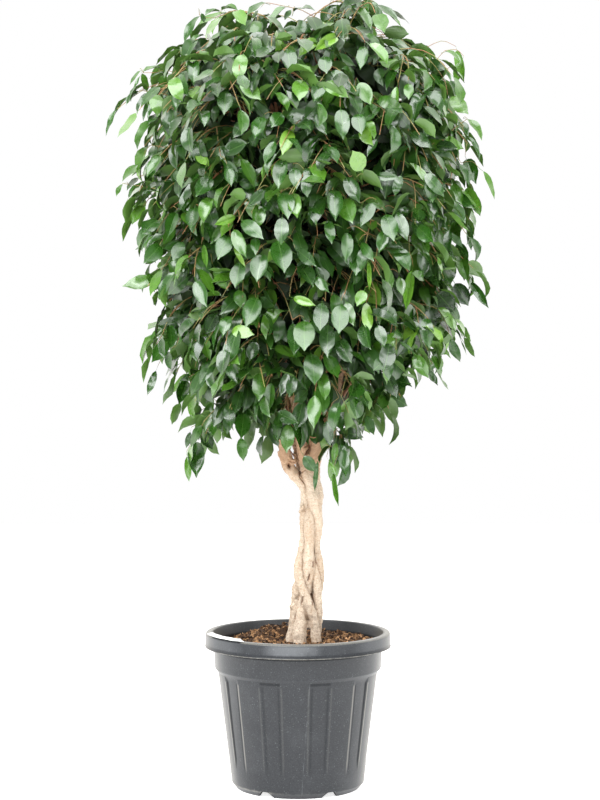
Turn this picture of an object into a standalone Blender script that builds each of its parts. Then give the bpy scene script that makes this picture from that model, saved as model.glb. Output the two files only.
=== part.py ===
"""Potted weeping fig with a plaited trunk.

Metres, +Z up. The pot stands on z = 0 with its axis on Z, and -Y is the front.
Azimuths run from +X towards +Y and elevations up from the level, both in degrees.
"""

import math
import random

import bmesh
import bpy
from mathutils import Matrix, Vector
from mathutils.bvhtree import BVHTree

SEED = 45
GAP = 0.0003
FLAT_ANGLE = 0.01
NEARLY_UPRIGHT = 0.998

# The pot: a turned tub with a turned-over rim, a collar and a fluted body.
POT_HEIGHT = 0.376
RIM_RADIUS = 0.226
RIM_WIDTH = 0.019
RIM_DEPTH = 0.035
RIM_ROUNDING = 0.006
COLLAR_TOP_RADIUS = 0.2045
COLLAR_FOOT_RADIUS = 0.2022
COLLAR_FOOT_HEIGHT = 0.291
COLLAR_STEP = 0.0105
BODY_TOP_RADIUS = 0.194
BODY_FOOT_RADIUS = 0.160
BODY_FOOT_HEIGHT = 0.012
FOOT_RADIUS = 0.150
FOOT_WIDTH = 0.008
WALL = 0.003
FLUTES = 10
FIRST_PANEL = -92
PANEL_ANGLE = 19.6
CHANNEL_DEPTH = 0.003
CHANNEL_MARGIN = 0.005
CHANNEL_START = 0.055
DRAINS = 6
DRAIN_WIDTH = 0.043
DRAIN_TOP_WIDTH = 0.022
DRAIN_HEIGHT = 0.014

# The soil fills the pot to a little under the rim and heaps up at the back left.
SOIL_LEVEL = 0.347
SOIL_HEAP = 0.028
SOIL_HEAP_PLACE = (-0.055, 0.080)
SOIL_HEAP_SPREAD = 0.06
SOIL_ROUGHNESS = 0.003
SOIL_WAVES = (70, 85)
SOIL_RINGS = (0.160, 0.105, 0.055)

# A blank paper strip lies along the rim's top at the front left.
LABEL_WIDTH = 0.014
LABEL_THICKNESS = 0.0006
LABEL_FROM = -129.0
LABEL_TO = -176.0
LABEL_STEPS = 5

# The five plaited stems: thickness at the foot, neck and head, then places (x, y, z) along each.
STEM_SIDES = 8
STEM_FOOT = 0.287
STEM_STEPS = 14
NECK_HEIGHT = 0.636
STEMS = (
    ((0.0120, 0.0130, 0.0165), (
        (0.003, 0.016, 0.287), (0.009, 0.018, 0.381), (0.025, 0.018, 0.425), (0.044, 0.011, 0.467),
        (0.051, 0.004, 0.502), (0.052, 0.005, 0.532), (0.050, 0.006, 0.561), (0.048, 0.000, 0.595),
        (0.049, -0.009, 0.630), (0.046, -0.014, 0.662), (0.038, -0.018, 0.699), (0.028, -0.018, 0.733),
        (0.022, -0.016, 0.759), (0.020, -0.006, 0.805))),
    ((0.0170, 0.0150, 0.0160), (
        (0.003, -0.016, 0.287), (0.003, -0.015, 0.357), (0.005, -0.012, 0.393), (0.010, -0.005, 0.431),
        (0.017, -0.001, 0.469), (0.024, -0.010, 0.509), (0.027, -0.015, 0.546), (0.028, -0.017, 0.585),
        (0.028, -0.015, 0.624), (0.032, -0.008, 0.659), (0.043, -0.001, 0.688), (0.046, 0.000, 0.715),
        (0.040, -0.002, 0.744), (0.040, -0.004, 0.773), (0.044, -0.003, 0.812))),
    ((0.0105, 0.0126, 0.0140), (
        (0.047, -0.010, 0.287), (0.043, -0.012, 0.363), (0.039, -0.016, 0.398), (0.030, -0.021, 0.433),
        (0.017, -0.023, 0.467), (0.005, -0.019, 0.500), (0.001, -0.013, 0.531), (0.006, -0.006, 0.567),
        (0.013, -0.001, 0.603), (0.015, 0.001, 0.646), (0.015, 0.002, 0.688), (0.007, -0.002, 0.720),
        (-0.008, -0.008, 0.750), (-0.026, -0.010, 0.783), (-0.037, -0.010, 0.817))),
    ((0.0100, 0.0112, 0.0130), (
        (0.046, 0.007, 0.287), (0.047, 0.006, 0.363), (0.049, 0.003, 0.403), (0.049, -0.004, 0.447),
        (0.047, -0.008, 0.487), (0.042, -0.005, 0.523), (0.034, 0.005, 0.554), (0.023, 0.014, 0.592),
        (0.017, 0.016, 0.633), (0.024, 0.015, 0.687), (0.039, 0.015, 0.738), (0.049, 0.012, 0.801))),
    ((0.0120, 0.0132, 0.0130), (
        (-0.019, -0.003, 0.287), (-0.016, -0.003, 0.355), (-0.011, -0.003, 0.391), (-0.007, -0.003, 0.428),
        (-0.004, -0.001, 0.459), (0.002, 0.004, 0.490), (0.016, 0.010, 0.521), (0.037, 0.013, 0.560),
        (0.048, 0.013, 0.609), (0.039, 0.011, 0.658), (0.022, 0.008, 0.707), (0.010, 0.013, 0.762),
        (0.000, 0.012, 0.811))),
)
# Where the stems have grown together they are solid to the middle.
CORE = ((0.027, 0.000, 0.586), (0.029, -0.001, 0.676), (0.022, -0.002, 0.856))
CORE_RADIUS = 0.016
# The cut end of a side branch low on the left of the plait.
KNOT_PLACE = (-0.005, -0.001, 0.462)
KNOT_AZIMUTH = -105
KNOT_ELEVATION = 8
KNOT_REACH = 0.019
KNOT_RADIUS = 0.006

# The limbs above the plait: foot (x, y), azimuth, spread, height of the top, and thickness.
LIMB_FOOT = 0.781
LIMB_TIP_RADIUS = 0.0035
LIMB_SIDES = 5
LIMB_STEPS = 5
LIMB_SWAY = 0.020
LIMB_TAPER = 0.8
LIMBS = (
    ((0.041, -0.003), -10, 0.15, 1.616, 0.0185),
    ((-0.022, -0.010), 195, 0.15, 1.616, 0.0140),
    ((0.040, 0.013), 60, 0.13, 1.636, 0.0130),
    ((0.008, 0.012), 125, 0.14, 1.616, 0.0125),
    ((0.016, -0.008), 248, 0.13, 1.596, 0.0140),
    ((0.036, -0.008), 308, 0.13, 1.616, 0.0120),
    ((0.018, 0.002), 90, 0.02, 1.736, 0.0140),
)

# The crown's outline: height and distance from its middle where a twig ends, how far right of
# the axis that middle lies, the twig's elevations at its start and end, and its length.
CROWN = (
    (0.885, 0.20, 0.000, 0, -75, 0.17),
    (0.965, 0.29, 0.015, 10, -70, 0.22),
    (1.095, 0.35, 0.035, 15, -65, 0.25),
    (1.315, 0.39, 0.020, 25, -60, 0.27),
    (1.515, 0.41, 0.010, 30, -60, 0.28),
    (1.685, 0.39, 0.000, 40, -55, 0.27),
    (1.805, 0.33, 0.010, 55, -45, 0.25),
    (1.870, 0.19, 0.000, 70, -30, 0.21),
    (1.888, 0.04, 0.000, 85, 20, 0.16),
)
# The crown stands this much higher to the right, for each metre from the axis.
CROWN_TILT = 0.07
SPREAD_SPRAYS = 36
GOLDEN_ANGLE = 137.508
# Sprays that make the crown's own outline: azimuth, then as in CROWN.
FEATURE_SPRAYS = (
    (181, 1.702, 0.398, 0, 25, -25, 0.27),
    (-2, 1.226, 0.423, 0, 20, -50, 0.27),
    (165, 1.880, 0.218, 0, 60, -25, 0.24),
    (10, 1.874, 0.198, 0, 70, 0, 0.22),
    (184, 1.078, 0.350, 0, 10, -70, 0.24),
    (188, 0.863, 0.250, 0, 0, -70, 0.20),
    (-40, 0.808, 0.145, 0, -10, -80, 0.11),
    (-97, 0.897, 0.175, 0, 5, -75, 0.13),
)

# Twigs and leaves.
TWIG_SIDES = 3
TWIG_STEPS = 4
TWIG_RADIUS = 0.0026
TWIG_TIP_RADIUS = 0.0018
BRANCHLET_RADIUS = 0.0045
BRANCHLET_SEAT = 0.025
BRANCHLET_SLOPE = 0.4
BRANCHLET_DOWNHILL_COST = 3
SIDE_TWIG_AT = 0.3
SIDE_TWIG_LENGTH = 0.55
SIDE_TWIG_STEPS = 2
SIDE_TWIG_TURN = 42
MAIN_LEAVES = (0.34, 0.56, 0.78, 1.0)
SIDE_LEAVES = (0.55, 1.0)
LEAF_THICKNESS = 0.0008
PETIOLE = 0.014
BLADE_LENGTH = (0.064, 0.082)
BLADE_HALF_WIDTH = 0.27
LEAF_ROOT_HALF_WIDTH = 0.0006
PETIOLE_HALF_WIDTH = 0.0011
# How far along the blade, how wide of its full width, and how much of its bend is done.
BLADE_STATIONS = ((0.33, 1.0, 0.75), (0.70, 0.66, 0.93))
PETIOLE_BEND = 0.35
LEAF_ROOT_DEPTH = 0.003
LEAF_CLEARANCE = 0.0015
# How far a twig swings sideways, and a spray shifts at each new try where it finds no room.
TWIG_SWAY = 30
SPRAY_TURN = 2
SPRAY_LIFT = 0.006
SPRAY_TRIES = 12
# A leaf's turn from its twig, rise, hang and lean, and how much each try loosens them.
SIDE_LEAF_TURN = (35, 60)
SIDE_LEAF_SCATTER = 12
SIDE_LEAF_RISE = (0, 25)
TWIG_RISE_SHARE = 0.4
END_LEAF_SCATTER = 14
LEAF_FALL = -50
LEAF_FALL_PAST_TWIG = 12
LEAF_FALL_SCATTER = 14
LEAF_LEAST_BEND = 15
LEAF_MOST_FALL = -88
LEAF_LEAN = 18
LEAF_TRIES = 14
LEAF_LOOSER = 0.25


def clear_scene():
    for leftover in list(bpy.data.objects):
        bpy.data.objects.remove(leftover, do_unlink=True)


def material(name, colour, roughness):
    """A non-metal surface with one linear colour."""
    made = bpy.data.materials.new(name)
    made.use_nodes = True
    shader = made.node_tree.nodes["Principled BSDF"]
    shader.inputs["Base Color"].default_value = (*colour, 1.0)
    shader.inputs["Roughness"].default_value = roughness
    shader.inputs["Metallic"].default_value = 0.0
    made.diffuse_color = (*colour, 1.0)
    return made


def heading(azimuth, elevation=0.0):
    """The unit vector at an azimuth and an elevation."""
    turn = math.radians(azimuth)
    lift = math.radians(elevation)
    return Vector((math.cos(lift) * math.cos(turn), math.cos(lift) * math.sin(turn), math.sin(lift)))


def shape(name, points, faces, surface):
    """An object from corner points and faces, with its faces turned outwards."""
    bm = bmesh.new()
    corners = [bm.verts.new(point) for point in points]
    for face in faces:
        bm.faces.new([corners[index] for index in face])
    bmesh.ops.recalc_face_normals(bm, faces=bm.faces)
    mesh = bpy.data.meshes.new(name)
    bm.to_mesh(mesh)
    bm.free()
    mesh.materials.append(surface)
    made = bpy.data.objects.new(name, mesh)
    bpy.context.scene.collection.objects.link(made)
    return made


def loft(rings):
    """Corner points and faces of a solid through rings of equal count, closed at both ends."""
    count = len(rings[0])
    points = [point for ring in rings for point in ring]
    faces = [tuple(range(count)), tuple(range(len(points) - count, len(points)))]
    for start in range(0, len(points) - count, count):
        for side in range(count):
            after = (side + 1) % count
            faces.append((start + side, start + after, start + count + after, start + count + side))
    return points, faces


def tube(path, radii, sides):
    """Corner points and faces of a round bar along a path."""
    rings = []
    up = Vector((0, 0, 1)) if abs((path[1] - path[0]).normalized().z) < NEARLY_UPRIGHT else Vector((1, 0, 0))
    for index, (place, radius) in enumerate(zip(path, radii)):
        ahead = (path[min(index + 1, len(path) - 1)] - path[max(index - 1, 0)]).normalized()
        up = (up - ahead * up.dot(ahead)).normalized()
        across = ahead.cross(up)
        turns = [math.tau * side / sides for side in range(sides)]
        rings.append([place + (up * math.cos(turn) + across * math.sin(turn)) * radius for turn in turns])
    return loft(rings)


def keep_largest_shell(bm):
    """Fills what the fusing sealed and drops what it left loose."""
    unseen = set(bm.faces)
    shells = []
    while unseen:
        front = [unseen.pop()]
        shell = list(front)
        while front:
            for edge in front.pop().edges:
                for face in edge.link_faces:
                    if face in unseen:
                        unseen.remove(face)
                        shell.append(face)
                        front.append(face)
        shells.append(shell)
    shells.sort(key=len)
    for shell in shells[:-1]:
        bmesh.ops.delete(bm, geom=shell, context="FACES")


def fuse(name, pieces, surface):
    """One solid from pieces that overlap, each given as corner points and faces."""
    objects = [shape(name, points, faces, surface) for points, faces in pieces]
    others = bpy.data.collections.new(name)
    for piece in objects[1:]:
        others.objects.link(piece)
    union = objects[0].modifiers.new("union", "BOOLEAN")
    union.operation = "UNION"
    union.operand_type = "COLLECTION"
    union.solver = "MANIFOLD"
    union.collection = others
    bpy.context.view_layer.update()
    joined = objects[0].evaluated_get(bpy.context.evaluated_depsgraph_get())
    mesh = bpy.data.meshes.new_from_object(joined)
    bm = bmesh.new()
    bm.from_mesh(mesh)
    keep_largest_shell(bm)
    bmesh.ops.dissolve_limit(bm, angle_limit=FLAT_ANGLE, verts=bm.verts, edges=bm.edges)
    bm.to_mesh(mesh)
    bm.free()
    for piece in objects:
        bpy.data.objects.remove(piece, do_unlink=True)
    bpy.data.collections.remove(others)
    made = bpy.data.objects.new(name, mesh)
    bpy.context.scene.collection.objects.link(made)
    return made


def cut(body, cutter):
    """Takes a hidden cutter out of a body."""
    cutter.display_type = "WIRE"
    cutter.hide_render = True
    difference = body.modifiers.new("cut", "BOOLEAN")
    difference.operation = "DIFFERENCE"
    difference.solver = "EXACT"
    difference.object = cutter


def turned(profile, azimuths):
    """Rings of a turned form, one for each (radius, height) of its profile."""
    rings = []
    for radius, height in profile:
        rings.append([heading(azimuth) * radius + Vector((0, 0, height)) for azimuth in azimuths])
    return rings


def pot_azimuths():
    """The corners round the pot: the edges and the middle of each raised panel."""
    pitch = 360 / FLUTES
    azimuths = []
    for flute in range(FLUTES):
        middle = FIRST_PANEL + flute * pitch
        azimuths += [middle - PANEL_ANGLE / 2, middle, middle + PANEL_ANGLE / 2]
    return azimuths


def pot_inside():
    """The inner wall's profile, from the lip down to the floor."""
    return [
        (COLLAR_TOP_RADIUS - WALL, POT_HEIGHT - RIM_DEPTH + RIM_ROUNDING),
        (COLLAR_FOOT_RADIUS - WALL, COLLAR_FOOT_HEIGHT),
        (BODY_TOP_RADIUS - WALL - CHANNEL_DEPTH, COLLAR_FOOT_HEIGHT - COLLAR_STEP),
        (BODY_FOOT_RADIUS - WALL - CHANNEL_DEPTH, BODY_FOOT_HEIGHT + WALL),
    ]


def build_pot(surface):
    body_top = COLLAR_FOOT_HEIGHT - COLLAR_STEP
    skirt_foot = POT_HEIGHT - RIM_DEPTH
    taper = (BODY_TOP_RADIUS - BODY_FOOT_RADIUS) / (body_top - BODY_FOOT_HEIGHT)
    channel_foot_radius = BODY_FOOT_RADIUS + taper * (CHANNEL_START - BODY_FOOT_HEIGHT)
    outside = [
        (FOOT_RADIUS - FOOT_WIDTH, BODY_FOOT_HEIGHT),
        (FOOT_RADIUS - FOOT_WIDTH, 0.0),
        (FOOT_RADIUS, 0.0),
        (BODY_FOOT_RADIUS, BODY_FOOT_HEIGHT),
        (channel_foot_radius, CHANNEL_START),
        (BODY_TOP_RADIUS, body_top),
        (COLLAR_FOOT_RADIUS, COLLAR_FOOT_HEIGHT),
        (COLLAR_TOP_RADIUS, skirt_foot + RIM_ROUNDING),
        (RIM_RADIUS - WALL, skirt_foot),
        (RIM_RADIUS, skirt_foot),
        (RIM_RADIUS, POT_HEIGHT - RIM_ROUNDING),
        (RIM_RADIUS - RIM_ROUNDING, POT_HEIGHT),
        (RIM_RADIUS - RIM_WIDTH + WALL, POT_HEIGHT),
        (RIM_RADIUS - RIM_WIDTH, POT_HEIGHT - WALL),
    ]
    points, faces = loft(turned(outside + pot_inside(), pot_azimuths()))
    pot = shape("pot", points, faces, surface)

    bm = bmesh.new()
    bm.from_mesh(pot.data)
    pitch = 360 / FLUTES
    channels = []
    for face in bm.faces:
        place = face.calc_center_median()
        flute_turn = (math.degrees(math.atan2(place.y, place.x)) - FIRST_PANEL) % pitch
        tall = max(v.co.z for v in face.verts) - min(v.co.z for v in face.verts)
        outer = face.normal.dot(Vector((place.x, place.y, 0))) > 0
        if outer and tall > body_top / 2 and abs(flute_turn - pitch / 2) < 1:
            channels.append(face)
    bmesh.ops.inset_individual(
        bm, faces=channels, thickness=CHANNEL_MARGIN, depth=-CHANNEL_DEPTH, use_even_offset=True
    )
    bm.to_mesh(pot.data)
    bm.free()

    bm = bmesh.new()
    for drain in range(DRAINS):
        azimuth = -90 + (drain + 0.5) * 360 / DRAINS
        place = Matrix.Translation(heading(azimuth) * (FOOT_RADIUS - FOOT_WIDTH / 2))
        turn = Matrix.Rotation(math.radians(azimuth), 4, "Z")
        cube = bmesh.ops.create_cube(bm, size=2.0)
        for corner in cube["verts"]:
            width = DRAIN_WIDTH + (DRAIN_TOP_WIDTH - DRAIN_WIDTH) * corner.co.z
            size = Matrix.Diagonal((DRAIN_WIDTH / 2, width / 2, DRAIN_HEIGHT, 1))
            corner.co = place @ turn @ size @ corner.co
    mesh = bpy.data.meshes.new("drain_cutter")
    bm.to_mesh(mesh)
    bm.free()
    cutter = bpy.data.objects.new("drain_cutter", mesh)
    bpy.context.scene.collection.objects.link(cutter)
    cut(pot, cutter)


def soil_top(x, y):
    """The soil's height at a place: level, with a heap and small clods."""
    away = math.hypot(x - SOIL_HEAP_PLACE[0], y - SOIL_HEAP_PLACE[1])
    heap = SOIL_HEAP * math.exp(-((away / SOIL_HEAP_SPREAD) ** 2))
    clods = math.sin(SOIL_WAVES[0] * x + 1) * math.cos(SOIL_WAVES[1] * y)
    return SOIL_LEVEL + heap + SOIL_ROUGHNESS * clods


def build_soil(surface, stem_pieces):
    inside = [(radius - GAP, height) for radius, height in reversed(pot_inside())]
    inside[0] = (inside[0][0], inside[0][1] + GAP)
    azimuths = pot_azimuths()
    rings = turned(inside, azimuths)
    for radius in SOIL_RINGS:
        ring = []
        for azimuth in azimuths:
            place = heading(azimuth) * radius
            place.z = soil_top(place.x, place.y)
            ring.append(place)
        rings.append(ring)
    soil = shape("soil", *loft(rings), surface)
    cut(soil, fuse("stem_cutter", stem_pieces, surface))


def build_label(surface):
    """A strip that follows the rim from the front to the left, lying on its flat top."""
    outer = RIM_RADIUS - RIM_ROUNDING
    low = POT_HEIGHT + GAP
    rings = []
    for step in range(LABEL_STEPS + 1):
        along = heading(LABEL_FROM + (LABEL_TO - LABEL_FROM) * step / LABEL_STEPS)
        ring = []
        for radius, height in ((0, 0), (1, 0), (1, 1), (0, 1)):
            place = along * (outer - LABEL_WIDTH * radius)
            place.z = low + LABEL_THICKNESS * height
            ring.append(place)
        rings.append(ring)
    shape("rim_label", *loft(rings), surface)


def smooth_path(places, steps):
    """Evenly spaced points on a smooth curve through the given places."""
    knots = [Vector(place) for place in places]
    first = knots[0] * 2 - knots[1]
    last = knots[-1] * 2 - knots[-2]
    knots = [first] + knots + [last]
    spans = len(knots) - 3
    path = []
    for step in range(steps + 1):
        along = spans * step / steps
        span = min(int(along), spans - 1)
        t = along - span
        a, b, c, d = knots[span:span + 4]
        path.append(b + ((c - a) * t + (a * 2 - b * 5 + c * 4 - d) * t ** 2
                         + (b * 3 - a - c * 3 + d) * t ** 3) * 0.5)
    return path


def stem_radius(height, foot, neck, head):
    if height < NECK_HEIGHT:
        share = (height - STEM_FOOT) / (NECK_HEIGHT - STEM_FOOT)
        return foot + (neck - foot) * share
    share = (height - NECK_HEIGHT) / (LIMB_FOOT - NECK_HEIGHT)
    return neck + (head - neck) * min(share, 1)


def plait(extra=0.0):
    """The stems, each thicker and longer at its foot by extra."""
    pieces = []
    for thickness, places in STEMS:
        path = smooth_path(places, STEM_STEPS)
        radii = [stem_radius(place.z, *thickness) + extra for place in path]
        path[0].z -= extra
        pieces.append(tube(path, radii, STEM_SIDES))
    return pieces


def limb_paths():
    """Points along each limb with the limb's thickness there."""
    limbs = []
    for foot, azimuth, spread, top, radius in LIMBS:
        path = []
        radii = []
        for step in range(LIMB_STEPS + 1):
            t = step / LIMB_STEPS
            out = heading(azimuth) * spread * (1 - (1 - t) ** 2)
            height = LIMB_FOOT + (top - LIMB_FOOT) * t
            sideways = heading(azimuth + 90) * LIMB_SWAY * math.sin(math.tau * t + azimuth)
            path.append(Vector((foot[0] * (1 - t), foot[1] * (1 - t), height)) + out + sideways * t)
            radii.append(radius + (LIMB_TIP_RADIUS - radius) * t ** LIMB_TAPER)
        limbs.append((path, radii))
    return limbs


def bough(start, azimuth, rise, fall, length, steps, sway=0.0):
    """Points of a twig that leaves at the elevation rise and bends down to fall."""
    path = [start.copy()]
    for step in range(steps):
        part = (step + 0.5) / steps
        way = heading(azimuth + sway * part, rise + (fall - rise) * part)
        path.append(path[-1] + way * (length / steps))
    return path


def along_path(path, share):
    """A place on a path and the direction there."""
    reach = share * (len(path) - 1)
    index = min(int(reach), len(path) - 2)
    step = path[index + 1] - path[index]
    return path[index] + step * (reach - index), step.normalized()


def crown_row(share):
    """The crown's outline at a share of its area, from the bottom fringe to the top."""
    areas = [0.0]
    for low, high in zip(CROWN, CROWN[1:]):
        slant = math.hypot(high[0] - low[0], high[1] - low[1])
        areas.append(areas[-1] + slant * (low[1] + high[1]) / 2)
    wanted = share * areas[-1]
    for index in range(len(CROWN) - 1):
        if wanted <= areas[index + 1]:
            t = (wanted - areas[index]) / (areas[index + 1] - areas[index])
            return [low + (high - low) * t for low, high in zip(CROWN[index], CROWN[index + 1])]
    return list(CROWN[-1])


def spray_plans():
    """Azimuth, end height, end distance, offset, elevations and length of every spray's twig."""
    plans = [list(feature) for feature in FEATURE_SPRAYS]
    for index in range(SPREAD_SPRAYS):
        row = crown_row((index + 0.5) / SPREAD_SPRAYS)
        plans.append([index * GOLDEN_ANGLE % 360] + row)
    return plans


class Space:
    """The solids placed so far, each with the name of its owner, to keep new ones clear."""

    def __init__(self):
        self.taken = []

    def add(self, owner, piece):
        self.taken.append((owner, BVHTree.FromPolygons(*piece)))

    def is_free(self, piece, but_not=None):
        tree = BVHTree.FromPolygons(*piece)
        return not any(owner != but_not and tree.overlap(other) for owner, other in self.taken)


def branchlet(seat, way, limbs):
    """A thin branch from the nearest limb up to a spray's seat."""
    before = seat - way * BRANCHLET_SEAT
    best = None
    for path, _ in limbs:
        for step in range(4 * LIMB_STEPS + 1):
            foot, _ = along_path(path, step / (4 * LIMB_STEPS))
            if (before - foot).dot(way) < BRANCHLET_RADIUS:
                continue
            level = math.hypot(seat.x - foot.x, seat.y - foot.y)
            downhill = max(0.0, foot.z + BRANCHLET_SLOPE * level - seat.z)
            cost = (seat - foot).length + BRANCHLET_DOWNHILL_COST * downhill
            if best is None or cost < best[0]:
                best = (cost, foot)
    foot = best[1]
    return tube([foot, before, seat], [BRANCHLET_RADIUS, TWIG_RADIUS, TWIG_RADIUS], TWIG_SIDES)


def twig(path, radius=TWIG_RADIUS):
    radii = []
    for index in range(len(path)):
        radii.append(radius + (TWIG_TIP_RADIUS - radius) * index / (len(path) - 1))
    return tube(path, radii, TWIG_SIDES)


def grown_twig(path):
    return tube(path, [TWIG_RADIUS + 2 * LEAF_CLEARANCE] * len(path), TWIG_SIDES)


def leaf(root, azimuth, tilt, rise, fall, blade, grow=0.0, bare=False):
    """A leaf as a bent plate: petiole, two widths and a pointed tip.

    It leaves at the elevation rise and hangs down to fall, leaning sideways by tilt.
    grow makes it larger all round, and bare leaves its petiole out.
    """
    half = BLADE_HALF_WIDTH * blade
    stations = [(0.0, LEAF_ROOT_HALF_WIDTH, 0.0), (PETIOLE, PETIOLE_HALF_WIDTH, PETIOLE_BEND)]
    for along, width, bend in BLADE_STATIONS:
        stations.append((PETIOLE + along * blade, width * half, bend))
    stations.append((PETIOLE + blade, 0.0, 1.0))
    across = Vector((0, 0, 1)).cross(heading(azimuth))
    lean = Matrix.Rotation(math.radians(tilt), 3, heading(azimuth))
    thick = LEAF_THICKNESS / 2 + grow
    points = []
    place = Vector((0, 0, 0))
    for index, (along, width, bend) in enumerate(stations):
        if index:
            middle = (bend + stations[index - 1][2]) / 2
            way = heading(azimuth, rise + (fall - rise) * middle)
            place = place + way * (along - stations[index - 1][0])
        face = heading(azimuth, rise + (fall - rise) * bend + 90)
        edges = ((-1, 1), (1, 1), (1, -1), (-1, -1)) if width else ((0, 1), (0, -1))
        for side, level in edges:
            offset = place + across * side * (width + grow) + face * level * thick
            points.append(root + lean @ offset)
    faces = []
    first = 1 if bare else 0
    for ring in range(first, len(stations) - 2):
        a = 4 * ring
        b = a + 4
        for side in range(4):
            after = (side + 1) % 4
            faces.append((a + side, a + after, b + after, b + side))
    a = 4 * (len(stations) - 2)
    tip = a + 4
    faces += [(a, a + 1, tip), (a + 2, a + 3, tip + 1)]
    faces += [(a + 1, a + 2, tip + 1, tip), (a + 3, a, tip, tip + 1)]
    faces.append(tuple(4 * first + side for side in range(4)))
    return points, faces


def place_leaf(rng, space, name, path, share, side, mid_fall):
    """A leaf at a share of a twig's length, on a side of it, or None where none fits."""
    place, way = along_path(path, share)
    twig_azimuth = math.degrees(math.atan2(way.y, way.x))
    twig_elevation = math.degrees(math.asin(max(-1.0, min(1.0, way.z))))
    for attempt in range(LEAF_TRIES):
        loose = 1 + attempt * LEAF_LOOSER
        if side:
            turn = side * rng.uniform(*SIDE_LEAF_TURN)
            azimuth = twig_azimuth + turn + rng.uniform(-1, 1) * SIDE_LEAF_SCATTER * loose
            rise = twig_elevation * TWIG_RISE_SHARE + rng.uniform(*SIDE_LEAF_RISE)
            root = place
        else:
            azimuth = twig_azimuth + rng.uniform(-1, 1) * END_LEAF_SCATTER * loose
            rise = twig_elevation
            root = place - way * LEAF_ROOT_DEPTH
        fall = min(mid_fall + rng.uniform(-1, 1) * LEAF_FALL_SCATTER * loose, rise - LEAF_LEAST_BEND)
        fall = max(fall, LEAF_MOST_FALL)
        tilt = rng.uniform(-1, 1) * LEAF_LEAN * loose
        blade = rng.uniform(*BLADE_LENGTH)
        grown = leaf(root, azimuth, tilt, rise, fall, blade, grow=LEAF_CLEARANCE)
        if not space.is_free(grown, but_not=name):
            continue
        if not space.is_free(leaf(root, azimuth, tilt, rise, fall, blade, LEAF_CLEARANCE, bare=True)):
            continue
        return leaf(root, azimuth, tilt, rise, fall, blade)
    return None


def build_plant(bark, greens):
    space = Space()
    limbs = limb_paths()
    wood = plait()
    core = [Vector(place) for place in CORE]
    wood.append(tube(core, [CORE_RADIUS] * len(core), LIMB_SIDES))
    knot_way = heading(KNOT_AZIMUTH, KNOT_ELEVATION)
    knot_foot = Vector(KNOT_PLACE)
    wood.append(tube([knot_foot, knot_foot + knot_way * KNOT_REACH], [KNOT_RADIUS] * 2, LIMB_SIDES))
    for path, radii in limbs:
        wood.append(tube(path, radii, LIMB_SIDES))
    for piece in wood:
        space.add("trunk", piece)

    sprays = []
    for index, plan in enumerate(spray_plans()):
        name = f"spray_{index + 1:02d}"
        rng = random.Random(SEED + index)
        for attempt in range(SPRAY_TRIES):
            azimuth, end_height, end_radius, offset, rise, fall, length = plan
            azimuth += rng.uniform(-1, 1) * SPRAY_TURN * attempt
            end_height += rng.uniform(-1, 1) * SPRAY_LIFT * attempt
            sway = rng.uniform(-1, 1) * TWIG_SWAY
            trial = bough(Vector((0, 0, 0)), azimuth, rise, fall, length, TWIG_STEPS, sway)
            end = heading(azimuth) * end_radius + Vector((offset, 0, end_height))
            end.z += CROWN_TILT * end.x
            start = end - trial[-1]
            way = (trial[1] - trial[0]).normalized()
            seat = start - way * GAP
            path = [start + place for place in trial]
            side_start, side_way = along_path(path, SIDE_TWIG_AT)
            turn = SIDE_TWIG_TURN * rng.choice((-1, 1))
            side_rise = math.degrees(math.asin(side_way.z))
            side_path = bough(side_start, azimuth + turn, side_rise, fall,
                              length * SIDE_TWIG_LENGTH, SIDE_TWIG_STEPS, turn / 3)
            arm = branchlet(seat, way, limbs)
            clear = space.is_free(grown_twig(path)) and space.is_free(grown_twig(side_path))
            if clear and space.is_free(arm, but_not="trunk"):
                break
        else:
            continue
        wood.append(arm)
        space.add("trunk", arm)
        space.add(name, twig(path))
        space.add(name, twig(side_path, TWIG_TIP_RADIUS))
        sprays.append((name, path, side_path, fall))

    pieces = {name: [twig(path), twig(side_path, TWIG_TIP_RADIUS)] for name, path, side_path, _ in sprays}
    for index, (name, path, side_path, fall) in enumerate(sprays):
        rng = random.Random(SEED * len(sprays) + index)
        mid_fall = min(LEAF_FALL, fall - LEAF_FALL_PAST_TWIG)
        spots = [(side_path, share) for share in SIDE_LEAVES] + [(path, share) for share in MAIN_LEAVES]
        for count, (route, share) in enumerate(spots):
            side = 0 if share == 1.0 else (-1) ** count
            grown = place_leaf(rng, space, name, route, share, side, mid_fall)
            if grown:
                space.add(name, grown)
                pieces[name].append(grown)
    fuse("trunk", wood, bark)
    for index, (name, parts) in enumerate(pieces.items()):
        fuse(name, parts, greens[index % len(greens)])


def main():
    clear_scene()
    pot_plastic = material("pot_plastic", (0.105, 0.11, 0.12), 0.45)
    potting_soil = material("potting_soil", (0.17, 0.09, 0.045), 0.95)
    label_paper = material("label_paper", (0.95, 0.96, 0.94), 0.6)
    bark = material("bark", (0.75, 0.58, 0.42), 0.8)
    greens = [
        material("leaf_dark", (0.03, 0.10, 0.03), 0.35),
        material("leaf_mid", (0.06, 0.17, 0.04), 0.35),
        material("leaf_young", (0.13, 0.30, 0.05), 0.38),
    ]
    build_pot(pot_plastic)
    build_soil(potting_soil, plait(extra=1.5 * GAP))
    build_label(label_paper)
    build_plant(bark, greens)


main()
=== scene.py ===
import math
import random

import bmesh
import bpy
import numpy as np
from mathutils import Matrix, Vector, noise
from mathutils.bvhtree import BVHTree


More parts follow.
